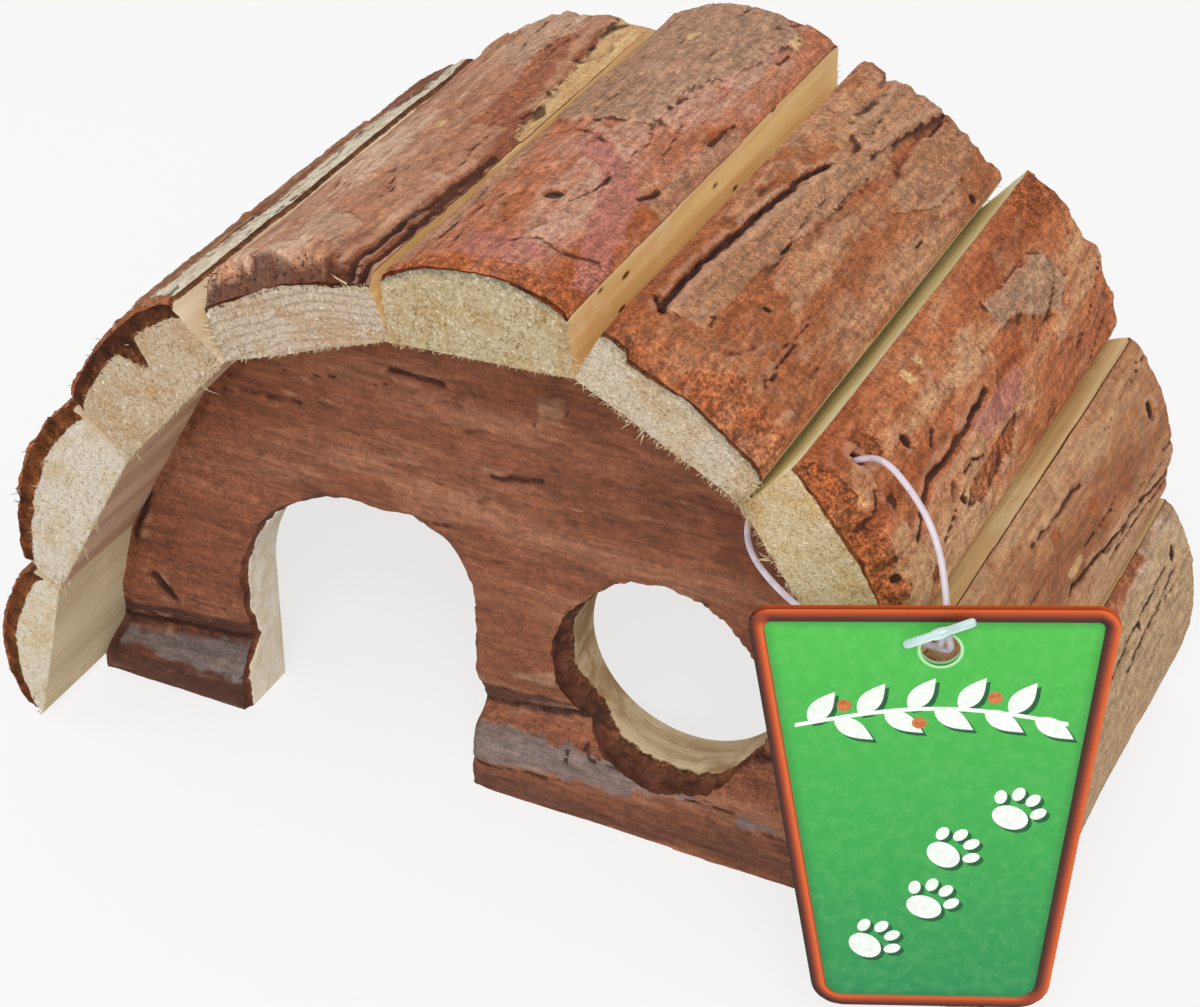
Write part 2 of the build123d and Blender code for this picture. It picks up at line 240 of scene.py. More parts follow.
@dataclass(frozen=True)
class BarkRelief:
    """How rough a bark face is. Lengths are in millimetres."""

    seed: int
    plate: Place = (8.0, 17.0)
    levels: float = 2.0
    step: float = 0.38
    swell: float = 0.4
    fibre: float = 0.1
    cracks: int = 18
    crack_depth: float = 0.5
    skew: float = 0.0
    marks: tuple[Mark, ...] = ()

    def own(self, kind: type) -> list[Mark]:
        """The face's own marks of one kind."""
        return [mark for mark in self.marks if isinstance(mark, kind)]

    def random_lines(self, width: float, length: float) -> list[Crack]:
        """Small fissures along the grain, at repeatable places.

        Args:
            width: Size of the face across the grain.
            length: Size of the face along the grain.

        Returns:
            The fissures.
        """
        draw = np.random.default_rng(self.seed * 7 + 5)
        found = []
        for _ in range(self.cracks):
            u, v = draw.uniform(0, width), draw.uniform(0, length)
            line = [(u, v)]
            for _ in range(draw.integers(2, 7)):
                run = draw.uniform(1.2, 4.2)
                u += run * math.tan(self.skew) + draw.normal(0, 0.35)
                v += run
                line.append((u, v))
            width_here = draw.uniform(0.07, 0.24)
            found.append(Crack(tuple(line), width_here, self.crack_depth * draw.uniform(0.4, 1.2)))
        return found

    def shape(self, across: Array, along: Array, width: float, length: float) -> dict[str, Array]:
        """Works out the bark on a grid of places.

        Args:
            across: Places across the grain.
            along: Places along the grain.
            width: Size of the face across the grain.
            length: Size of the face along the grain.

        Returns:
            The height in millimetres, the distance to the nearest crack or plate foot for painted shade,
            and each tint's mask.
        """
        noise = Noise(self.seed)
        turned = across - (along - length / 2) * math.tan(self.skew)
        bend_u = turned + 1.1 * noise.fractal(turned / 4, along / 6, 3, 40)
        bend_v = along + 2.2 * noise.fractal(turned / 4, along / 6, 3, 50)
        level = 0.5 + 0.75 * noise.fractal(bend_u / self.plate[0], bend_v / self.plate[1], 3, 1)
        level *= self.levels
        height = self.step * (np.floor(level) + ease(level - np.floor(level), 0.0, 0.16))
        height -= self.step * self.levels / 2
        height += self.swell * noise.fractal(turned / 11, along / 26, 2, 60)
        height += self.fibre * noise.fractal(turned / 0.9, along / 5.5, 3, 70, 0.6)
        height += 0.6 * self.fibre * noise.fractal(across / 0.8, along / 0.9, 2, 80)
        masks = {tint.value: np.zeros(across.shape) for tint in Tint}
        rough = noise.fractal(across / 1.6, along / 2.2, 3, 90)
        far = 3.0
        fissure = np.full(across.shape, far)
        broken = np.clip(noise.fractal(across / 2.5, along / 2.5, 2, 95) + 0.08, 0, 1)
        for patch in self.own(Patch):
            edge = inside_distance(across, along, patch.outline) + patch.ragged * rough
            inside = ease(edge, -patch.soft / 2, patch.soft / 2)
            height += patch.lift * ease(edge, -0.25, 0.25)
            known = masks[patch.tint.value]
            masks[patch.tint.value] = np.maximum(known, patch.strength * inside)
            # A raised or sunk plate's foot gets a broken line of painted shade
            if patch.lift:
                foot = edge * np.sign(patch.lift) < 0.1
                fissure = np.minimum(fissure, np.where(foot, 0.75 * np.abs(edge) + broken, far))
        wander = 0.4 * noise.fractal(across / 1.6, along / 1.9, 3, 100)
        thin = 0.3 * noise.fractal(across / 2, along / 4, 2, 110)
        for crack in [*self.own(Crack), *self.random_lines(width, length)]:
            away = line_distance(across + wander, along, crack.line)
            height -= crack.depth * np.exp(-((away / crack.width) ** 2))
            if crack.depth > 0:
                fissure = np.minimum(fissure, away + 0.33 + thin - crack.width * 0.6)
        for pit in self.own(Pit):
            away = np.hypot(across - pit.place[0], along - pit.place[1])
            height -= pit.depth * ease(-away, -pit.radius * 1.25, -pit.radius * 0.75)
            fissure = np.minimum(fissure, away - pit.radius * 0.75)
        return {"relief": height, "fissure": np.maximum(fissure, 0), **masks}


def blurred(grid: Array, reach: int) -> Array:
    """Mean of a grid's values within some steps of each place.

    Args:
        grid: Values on a regular grid.
        reach: Steps to each side.

    Returns:
        The means, on the same grid.
    """
    result = grid
    for axis in (0, 1):
        padding = [(reach + 1, reach) if axis == n else (0, 0) for n in (0, 1)]
        total = np.cumsum(np.pad(result, padding, mode="edge"), axis=axis)
        high = np.take(total, range(2 * reach + 1, total.shape[axis]), axis)
        low = np.take(total, range(0, total.shape[axis] - 2 * reach - 1), axis)
        result = (high - low) / (2 * reach + 1)
    return result


class Graph:
    """Short calls that add and link the nodes of one node tree."""

    def __init__(self, tree: bpy.types.NodeTree) -> None:
        """Keeps the tree."""
        self.tree = tree

    def add(self, kind: str, **settings: object) -> bpy.types.Node:
        """Adds a node.

        Args:
            kind: The node's type.
            settings: Its own settings, by name.

        Returns:
            The node.
        """
        node = self.tree.nodes.new(kind)
        for name, value in settings.items():
            setattr(node, name, value)
        return node

    def feed(self, socket: Socket, value: object) -> None:
        """Links a socket to another, or sets its value.

        Args:
            socket: The input.
            value: What feeds it.
        """
        if isinstance(value, Socket):
            self.tree.links.new(value, socket)
        else:
            socket.default_value = value

    def mask(self, name: str) -> Socket:
        """Value that the mesh keeps under a name."""
        return self.add("ShaderNodeAttribute", attribute_name=name).outputs["Fac"]

    def place(self, stretch: Spot = (1, 1, 1)) -> Socket:
        """Finds the place on the object.

        Args:
            stretch: What each axis is multiplied by.

        Returns:
            The place.
        """
        scaled = self.add("ShaderNodeVectorMath", operation="MULTIPLY")
        self.feed(scaled.inputs[0], self.add("ShaderNodeTexCoord").outputs["Object"])
        self.feed(scaled.inputs[1], stretch)
        return scaled.outputs[0]

    def noise(
        self, where: Socket, scale: float, detail: float = 2.0, rough: float = 0.5, warp: float = 0.0
    ) -> Socket:
        """Noise from 0 to 1.

        Args:
            where: Place to read it at.
            scale: Features in a metre.
            detail: Number of finer sizes.
            rough: Weight of the finer sizes.
            warp: How much it folds into itself.

        Returns:
            The value.
        """
        node = self.add("ShaderNodeTexNoise")
        self.feed(node.inputs["Vector"], where)
        given = {"Scale": scale, "Detail": detail, "Roughness": rough, "Distortion": warp}
        for name, value in given.items():
            node.inputs[name].default_value = value
        return node.outputs["Fac"]

    def math(self, how: str, first: object, second: object = 0.0) -> Socket:
        """One step of arithmetic.

        Args:
            how: The operation.
            first: First value or socket.
            second: Second value or socket.

        Returns:
            The result.
        """
        node = self.add("ShaderNodeMath", operation=how)
        self.feed(node.inputs[0], first)
        self.feed(node.inputs[1], second)
        return node.outputs[0]

    def times(self, first: object, second: object) -> Socket:
        """One value or socket times another."""
        return self.math("MULTIPLY", first, second)

    def plus(self, first: object, second: object) -> Socket:
        """One value or socket plus another."""
        return self.math("ADD", first, second)

    def smooth(self, value: object, low: float, high: float) -> Socket:
        """Smooth step.

        Args:
            value: What steps.
            low: Where the step is 0, which may be the larger.
            high: Where it is 1.

        Returns:
            The step.
        """
        node = self.add("ShaderNodeMapRange", interpolation_type="SMOOTHSTEP")
        self.feed(node.inputs["Value"], value)
        turned = low > high
        node.inputs["From Min"].default_value = min(low, high)
        node.inputs["From Max"].default_value = max(low, high)
        node.inputs["To Min"].default_value = float(turned)
        node.inputs["To Max"].default_value = float(not turned)
        return node.outputs["Result"]

    def blend(self, share: object, first: object, second: object, how: str = "MIX") -> Socket:
        """Mixes two colours.

        Args:
            share: How much of the second.
            first: First colour or socket.
            second: Second colour or socket.
            how: The way of mixing.

        Returns:
            The colour.
        """
        node = self.add("ShaderNodeMix", data_type="RGBA", blend_type=how)
        self.feed(node.inputs[0], share)
        for number, tone in ((6, first), (7, second)):
            self.feed(node.inputs[number], linear(tone) if isinstance(tone, tuple) else tone)
        return node.outputs[2]

    def cover(
        self, tone: object, over: object, value: object, low: float, high: float, most: object = 1.0
    ) -> Socket:
        """Lays a colour over another where a value is high.

        Args:
            tone: The colour beneath.
            over: The colour laid over it.
            value: What the mask is made of.
            low: Value at which none of it shows, which may be the larger.
            high: Value at which all of it shows.
            most: The share that shows there.

        Returns:
            The colour.
        """
        mask = self.smooth(value, low, high)
        return self.blend(mask if most == 1.0 else self.times(mask, most), tone, over)

    def rind(self, tone: object, bark: Colour, inner: Colour, share: float) -> Socket:
        """Lays the bark's cut thickness over a colour.

        Args:
            tone: The colour beneath.
            bark: The bark's colour at its outer face.
            inner: Its flecks further in.
            share: How much of the bark's thickness shows.

        Returns:
            The colour.
        """
        found = self.use(RIND_GROUP, Bark=linear(bark), Inner=linear(inner), Share=share)
        return self.blend(found["Mask"], tone, found["Color"])

    def ramp(self, value: Socket, stops: tuple[tuple[float, Colour], ...]) -> Socket:
        """Colours along a value.

        Args:
            value: From 0 to 1.
            stops: Places and colours, in order.

        Returns:
            The colour.
        """
        node = self.add("ShaderNodeValToRGB")
        self.feed(node.inputs["Fac"], value)
        elements = node.color_ramp.elements
        while len(elements) < len(stops):
            elements.new(0.5)
        for element, (where, colour) in zip(elements, stops):
            element.position = where
            element.color = linear(colour)
        return node.outputs["Color"]

    def bump(self, height: Socket, depth: float, strength: float) -> Socket:
        """Normal of a surface with fine relief.

        Args:
            height: The relief, from 0 to 1.
            depth: Its depth in millimetres.
            strength: How much of it shows.

        Returns:
            The normal.
        """
        node = self.add("ShaderNodeBump")
        node.inputs["Strength"].default_value = strength
        node.inputs["Distance"].default_value = depth * MM
        self.feed(node.inputs["Height"], height)
        return node.outputs["Normal"]

    def use(self, group: str, **values: object) -> bpy.types.NodeOutputs:
        """Places a group.

        Args:
            group: Its name.
            values: Its inputs, by name.

        Returns:
            Its outputs.
        """
        node = self.add("ShaderNodeGroup", node_tree=bpy.data.node_groups[group])
        for name, value in values.items():
            self.feed(node.inputs[name], value)
        return node.outputs

    def shade(
        self, tone: Socket, normal: Socket, rough: object, specular: float = 0.5, **more: object
    ) -> None:
        """Feeds the material's main shader.

        Args:
            tone: Its base colour.
            normal: Its normal.
            rough: Its roughness.
            specular: Its specular level.
            more: Other inputs by name, with _ for a space.
        """
        given = {"Base Color": tone, "Normal": normal, "Roughness": rough, "Specular IOR Level": specular}
        for name, value in (given | more).items():
            self.feed(self.tree.nodes["Principled BSDF"].inputs[name.replace("_", " ")], value)


def new_group(
    name: str, inputs: dict[str, str], outputs: dict[str, str]
) -> tuple[Graph, bpy.types.NodeOutputs, bpy.types.NodeInputs]:
    """Starts a shader group.

    Args:
        name: The group's name.
        inputs: Names of its inputs, each with Float, Color or Vector.
        outputs: The same for its outputs.

    Returns:
        The graph to fill, what its input node gives, and the sockets of its output node.
    """
    tree = bpy.data.node_groups.new(name, "ShaderNodeTree")
    for label, kind in inputs.items():
        tree.interface.new_socket(name=label, in_out="INPUT", socket_type=f"NodeSocket{kind}")
    for label, kind in outputs.items():
        tree.interface.new_socket(name=label, in_out="OUTPUT", socket_type=f"NodeSocket{kind}")
    graph = Graph(tree)
    return graph, graph.add("NodeGroupInput").outputs, graph.add("NodeGroupOutput").inputs


def make_bark_group() -> None:
    """Builds the colour and fine relief of bark, on a place that is stretched along the grain."""
    colours = ("Low", "Mid", "High", "Dark", "Lip", *(tint.name for tint in Tint))
    graph, given, out = new_group(
        BARK_GROUP,
        {"Place": "Vector", **dict.fromkeys(colours, "Color"), "Grit": "Float"},
        {"Color": "Color", "Height": "Float", "Roughness": "Float"},
    )
    # The second colour is painted shade, laid in cracks and at the feet of plates
    glint_tone, crack_shade_tone = (232, 190, 150), (44, 24, 18)
    where, spot = given["Place"], graph.place()
    relief, cavity = graph.mask("relief"), graph.mask("cavity")
    broad = graph.noise(where, 95, 8, 0.66, 0.5)
    patchy = graph.noise(where, 420, 6, 0.7, 0.4)
    warm = graph.noise(spot, 170, 8, 0.7, 0.8)
    grey = graph.noise(graph.place((1.0, 0.6, 1.1)), 130, 8, 0.7, 0.6)
    fibres = graph.noise(where, 1300, 4, 0.65)
    grit = graph.noise(spot, 2500, 3, 0.72)
    grain = graph.noise(spot, 850, 5, 0.65)
    ragged = graph.times(graph.math("SUBTRACT", patchy, 0.5), 1.3)
    # Broad tones
    level = graph.plus(broad, graph.times(relief, 0.16))
    tone = graph.cover(given["Low"], given["Mid"], level, 0.36, 0.5)
    tone = graph.cover(tone, given["High"], level, 0.5, 0.64)
    tone = graph.cover(tone, given["RUST"], warm, 0.5, 0.66, 0.55)
    tone = graph.cover(tone, given["ASHEN"], grey, 0.54, 0.68, 0.5)
    for tint in (Tint.RUST, Tint.ASHEN, Tint.ROSE, Tint.PALE):
        strength = graph.plus(graph.mask(tint.value), graph.times(ragged, 0.7))
        tone = graph.cover(tone, given[tint.name], strength, 0.2, 0.8, 0.8)
    # Grit, strongest on rust
    gritted = graph.times(given["Grit"], graph.plus(0.7, graph.times(graph.mask("rust"), 0.7)))
    tone = graph.blend(graph.times(gritted, 0.8), tone, graph.smooth(grain, 0.2, 0.8), "OVERLAY")
    tone = graph.blend(0.34, tone, graph.smooth(fibres, 0.22, 0.78), "OVERLAY")
    tone = graph.blend(gritted, tone, graph.smooth(grit, 0.2, 0.8), "OVERLAY")
    tone = graph.cover(tone, given["Dark"], grit, 0.38, 0.26, gritted)
    tone = graph.cover(tone, glint_tone, grit, 0.68, 0.8, graph.times(gritted, 0.6))
    # Painted shade in hollows, a painted highlight on raised edges, and painted shade in cracks and at the
    # feet of plate steps
    hollow_shade = graph.plus(cavity, graph.times(ragged, 0.1))
    tone = graph.cover(tone, given["Dark"], hollow_shade, 0.07, 0.26, 0.85)
    # Painted highlight where the relief stands above its surroundings
    lip = graph.plus(graph.times(cavity, -1.0), graph.times(ragged, 0.08))
    tone = graph.cover(tone, given["Lip"], lip, 0.07, 0.24, 0.3)
    crack_shade_mask = graph.plus(graph.mask("fissure"), graph.times(ragged, 0.5))
    tone = graph.cover(tone, crack_shade_tone, crack_shade_mask, 0.34, 0.06, 0.8)
    height = graph.plus(graph.times(fibres, 0.35), graph.times(grit, 0.3))
    height = graph.plus(height, graph.times(patchy, 0.5))
    height = graph.plus(height, graph.times(grain, 0.5))
    graph.feed(out["Color"], tone)
    graph.feed(out["Height"], height)
    graph.feed(out["Roughness"], graph.plus(0.66, graph.times(grit, 0.3)))


def make_rind_group() -> None:
    """Builds the mask and colour of the bark's thickness, from the depth under the bark face."""
    graph, given, out = new_group(
        RIND_GROUP,
        {"Bark": "Color", "Inner": "Color", "Share": "Float"},
        {"Mask": "Float", "Color": "Color"},
    )
    grit = graph.noise(graph.place(), 1600, 3, 0.65)
    wobble = graph.times(graph.math("SUBTRACT", grit, 0.5), 0.8)
    thick = graph.times(graph.mask("rind"), given["Share"])
    share = graph.math("DIVIDE", graph.mask("depth"), graph.math("MAXIMUM", thick, 0.02))
    share = graph.plus(share, graph.times(wobble, 0.35))
    flecked = graph.cover(given["Bark"], given["Inner"], grit, 0.35, 0.7)
    tone = graph.cover(given["Bark"], flecked, share, 0.3, 1.0)
    blotch = graph.smooth(graph.noise(graph.place(), 420, 5, 0.7, 0.4), 0.3, 0.7)
    graph.feed(out["Mask"], graph.smooth(share, 1.06, 0.94))
    graph.feed(out["Color"], graph.blend(0.6, tone, blotch, "OVERLAY"))


class Finish(ABC):
    """A finish that dresses a material."""

    def material(self, name: str) -> Material:
        """Makes the material.

        Args:
            name: Its name.

        Returns:
            The material.
        """
        made = bpy.data.materials.new(name)
        made.use_nodes = True
        self.paint(Graph(made.node_tree))
        return made

    @abstractmethod
    def paint(self, graph: Graph) -> None:
        """Fills the material's graph."""


@dataclass(frozen=True)
class BarkFinish(Finish):
    """Weathered bark. Dark is its darkest tone and the painted shade in its hollows, high is the tone of
    its top plates, and the last colour is a painted highlight on raised edges.
    """

    low: Colour = (134, 72, 44)
    mid: Colour = (162, 100, 70)
    high: Colour = (180, 136, 112)
    dark: Colour = (66, 36, 26)
    rose: Colour = (178, 112, 98)
    pale: Colour = (220, 182, 128)
    ashen: Colour = (168, 130, 102)
    rust: Colour = (160, 86, 46)
    grit: float = 0.5
    grain: Spot = (1.0, 0.16, 1.0)
    # Colour of the painted highlight on raised edges
    lip: Colour = (222, 178, 148)

    def paint(self, graph: Graph) -> None:
        """Fills the material's graph.

        Args:
            graph: The graph.
        """
        names = ("Low", "Mid", "High", "Dark", "Lip")
        tones = {name: linear(getattr(self, name.lower())) for name in names}
        tones |= {tint.name: linear(getattr(self, tint.value)) for tint in Tint}
        bark = graph.use(BARK_GROUP, Place=graph.place(self.grain), Grit=self.grit, **tones)
        normal = graph.bump(bark["Height"], 0.5, 0.8)
        graph.shade(bark["Color"], normal, bark["Roughness"], 0.25)


@dataclass(frozen=True)
class SawnEndFinish(Finish):
    """Woolly sawn end grain, with growth rings that follow the bark and a stain under it."""

    wood: Colour = (212, 194, 156)
    shade: Colour = (170, 146, 108)
    stain: Colour = (122, 124, 108)
    stained: float = 0.0
    warm: Colour = (240, 214, 170)
    pore: Colour = (128, 106, 70)
    bark: Colour = (82, 46, 28)
    inner: Colour = (138, 84, 46)
    ringed: float = 0.2
    light: Colour = (250, 242, 222)

    def paint(self, graph: Graph) -> None:
        """Fills the material's graph.

        Args:
            graph: The graph.
        """
        where = graph.place()
        wool = graph.noise(where, 2700, 3, 0.75, 0.4)
        strands = graph.noise(where, 1050, 4, 0.7, 0.8)
        broad = graph.noise(where, 170, 5, 0.65)
        depth = graph.mask("depth")
        ring_place = graph.plus(depth, graph.times(graph.noise(where, 120, 2), 2.5))
        rings = graph.math("SINE", graph.times(ring_place, 5.2))
        speckle = graph.plus(graph.times(wool, 0.65), graph.times(strands, 0.35))
        tone = graph.cover(self.shade, self.wood, speckle, 0.38, 0.51)
        share = graph.times(graph.smooth(broad, 0.46, 0.62), 0.6)
        tone = graph.blend(share, tone, self.warm, "MULTIPLY")
        tone = graph.cover(tone, self.shade, rings, 0.0, 1.0, self.ringed)
        near_bark = graph.math("SUBTRACT", depth, graph.mask("rind"))
        near_bark = graph.plus(near_bark, graph.times(strands, 1.6))
        tone = graph.cover(tone, self.stain, near_bark, 1.9, 0.7, self.stained)
        tone = graph.cover(tone, self.pore, speckle, 0.42, 0.34, 0.75)
        tone = graph.cover(tone, self.light, speckle, 0.55, 0.63, 0.9)
        tone = graph.rind(tone, self.bark, self.inner, 1.0)
        height = graph.plus(wool, graph.times(strands, 0.8))
        graph.shade(tone, graph.bump(height, 0.65, 0.9), 0.9, 0.15)


@dataclass(frozen=True)
class PlanedFinish(Finish):
    """Sawn long grain: fine lines along the board, specks and the bark's thin edge."""

    wood: Colour = (238, 208, 152)
    shade: Colour = (206, 168, 112)
    speck: float = 0.4
    bark: Colour = (96, 56, 34)
    inner: Colour = (150, 100, 62)
    grain: Spot = (1.0, 0.05, 1.0)
    rind_share: float = 0.35
    speck_tone: Colour = (92, 58, 34)
    blotch_tone: Colour = (234, 214, 174)

    def paint(self, graph: Graph) -> None:
        """Fills the material's graph.

        Args:
            graph: The graph.
        """
        where = graph.place(self.grain)
        lines = graph.noise(where, 1100, 4, 0.6)
        broad = graph.noise(where, 260, 3, 0.6, 0.5)
        blotch = graph.noise(graph.place(), 90, 3, 0.6)
        tone = graph.cover(self.shade, self.wood, broad, 0.35, 0.65)
        tone = graph.cover(tone, self.shade, lines, 0.5, 0.32, 0.45)
        tone = graph.cover(tone, self.blotch_tone, blotch, 0.5, 0.7, 0.5)
        dots = graph.add("ShaderNodeTexVoronoi", feature="F1")
        stretched = graph.place(tuple(min(1.0, axis * 8) for axis in self.grain))
        graph.feed(dots.inputs["Vector"], stretched)
        graph.feed(dots.inputs["Scale"], 260)
        tone = graph.cover(tone, self.speck_tone, dots.outputs["Distance"], 0.14, 0.07, self.speck)
        tone = graph.rind(tone, self.bark, self.inner, self.rind_share)
        graph.shade(tone, graph.bump(lines, 0.16, 0.8), 0.72, 0.25)


@dataclass
class Shape:
    """Points, faces and values gathered for one mesh, in millimetres."""

    points: list[Array]
    faces: list[Array]
    slots: list[Array]
    values: dict[str, list[Array]]
    count: int = 0

    @classmethod
    def empty(cls, names: tuple[str, ...]) -> "Shape":
        """Starts a shape whose points keep values under these names."""
        return cls([], [], [], {name: [] for name in names})

    def add(self, points: Array, faces: list[tuple[Array, int]], **values: object) -> None:
        """Adds points and faces.

        Args:
            points: Rows of three coordinates.
            faces: Arrays of point numbers in this batch, each with its material's number.
            values: Values of the points by name; the rest are 0.
        """
        self.points.append(points)
        for corners, slot in faces:
            if len(corners):
                self.faces.append(corners + self.count)
                self.slots.append(np.full(len(corners), slot))
        for name, known in self.values.items():
            known.append(np.broadcast_to(values.get(name, 0.0), len(points)))
        self.count += len(points)

    def build(self, name: str, materials: list[Material], sharp: float) -> Thing:
        """Makes the object.

        Args:
            name: Its name.
            materials: The materials that the faces number.
            sharp: Edges that turn more than this, in degrees, stay sharp.

        Returns:
            The object, linked to the scene.
        """
        mesh = bpy.data.meshes.new(name)
        faces = [row for corners in self.faces for row in corners.tolist()]
        mesh.from_pydata((np.concatenate(self.points) * MM).tolist(), [], faces)
        for material in materials:
            mesh.materials.append(material)
        mesh.polygons.foreach_set("material_index", np.concatenate(self.slots).astype(np.int32))
        for label, known in self.values.items():
            layer = mesh.attributes.new(label, "FLOAT", "POINT")
            layer.data.foreach_set("value", np.concatenate(known).astype(np.float32))
        mesh.shade_smooth()
        mesh.set_sharp_from_angle(angle=math.radians(sharp))
        mesh.validate()
        made = bpy.data.objects.new(name, mesh)
        bpy.context.scene.collection.objects.link(made)
        return made


class Side(Enum):
    """Sides of a slab, each with its number among the slab's materials."""

    BARK = 0
    SIDES = 1
    END = 2
    FIBRE = 3
    INNER = 4


def block_skin(across: int, up: int, along: int) -> tuple[Array, list[tuple[Array, int]]]:
    """Skin of a block of cells.

    Args:
        across: Cells across the slab.
        up: Cells from its inner face to its bark.
        along: Cells along it.

    Returns:
        The skin's points as whole numbers of cells, and its faces with their material numbers.
    """
    skin = np.zeros((across + 1, up + 1, along + 1), bool)
    skin[[0, -1]] = True
    skin[:, [0, -1]] = True
    skin[:, :, [0, -1]] = True
    number = np.full(skin.shape, -1)
    number[skin] = np.arange(skin.sum())

    def quads(grid: Array, flip: bool) -> Array:
        """Makes faces between the points of a grid.

        Args:
            grid: The point numbers.
            flip: Whether the faces are turned over.

        Returns:
            The faces.
        """
        found = np.stack([grid[:-1, :-1], grid[1:, :-1], grid[1:, 1:], grid[:-1, 1:]], -1)
        found = found.reshape(-1, 4)
        return found[:, ::-1] if flip else found

    faces = [
        (quads(number[:, -1, :], False), Side.BARK.value),
        (quads(number[:, 0, :], True), Side.INNER.value),
        (quads(number[0], False), Side.SIDES.value),
        (quads(number[-1], True), Side.SIDES.value),
        (quads(number[:, :, 0], False), Side.END.value),
        (quads(number[:, :, -1], True), Side.END.value),
    ]
    return np.argwhere(skin), faces


class Fuzz:
    """Fine wood fibres left by the saw. Each is a three-sided spike at a repeatable place."""

    runs = 3
    taper = 0.55

    def __init__(self, seed: int, shape: Shape) -> None:
        """Starts the random draws.

        Args:
            seed: Fixes them.
            shape: The mesh that the fibres join.
        """
        self.draw, self.shape = np.random.default_rng(seed), shape
        last = 3 * (self.runs - 1)
        sides = [
            (3 * n + k, 3 * n + (k + 1) % 3, 3 * n + 3 + (k + 1) % 3, 3 * n + 3 + k)
            for n in range(self.runs - 1)
            for k in range(3)
        ]
        tips = [(last + k, last + (k + 1) % 3, 3 * self.runs) for k in range(3)] + [(2, 1, 0)]
        self.faces = [(np.array(found), Side.FIBRE.value) for found in (sides, tips)]

    def grow(self, root: Array, direction: Array, length: float, radius: float, depth: float) -> None:
        """Adds one bent fibre that tapers to a point.

        Args:
            root: Where it starts.
            direction: Where it points.
            length: How long it is.
            radius: How thick it is at the root.
            depth: How deep under the bark it counts as.
        """
        bend = self.draw.normal(0, 0.5, 3)
        share = np.linspace(0, 1, self.runs + 1)[:, None]
        aim = direction / (np.linalg.norm(direction) + 1e-9)
        line = root + length * (share * aim + 0.5 * share**2 * bend)
        along = line[-1] - line[0]
        first = np.cross(along, (0.31, 0.52, 0.79))
        first /= np.linalg.norm(first) + 1e-9
        second = np.cross(along / (np.linalg.norm(along) + 1e-9), first)
        turns = np.arange(3) * 2 * math.pi / 3
        around = np.outer(np.cos(turns), first) + np.outer(np.sin(turns), second)
        rings = [line[n] + radius * (1 - self.taper * n / self.runs) * around for n in range(self.runs)]
        self.shape.add(np.concatenate([*rings, line[-1:]]), self.faces, depth=depth, rind=0.5)


@dataclass(frozen=True)
class EndStyle:
    """How a slab's sawn ends look: bevelled bark, and fibres along the end's edges.

    A splinter is its place across, its height, where it points across and outward, and its length. An
    inclusion of bark in the wood is its place, its reach and its depth.
    """

    rind: float = 2.2
    bevel: float = 1.6
    bevel_drop: float = 0.6
    wool: float = 0.22
    inner_fibres: int = 110
    bark_fibres: int = 12
    side_fibres: int = 22
    face_fibres: int = 140
    rear_share: float = 0.6
    fibre_length: float = 0.55
    wood_top: tuple[Place, ...] = ()
    edge: Tint = Tint.RUST
    edge_strength: float = 0.6
    inclusions: tuple[Spot, ...] = ()
    splinters: tuple[tuple[float, float, float, float, float], ...] = ()
    tufts: int = 0


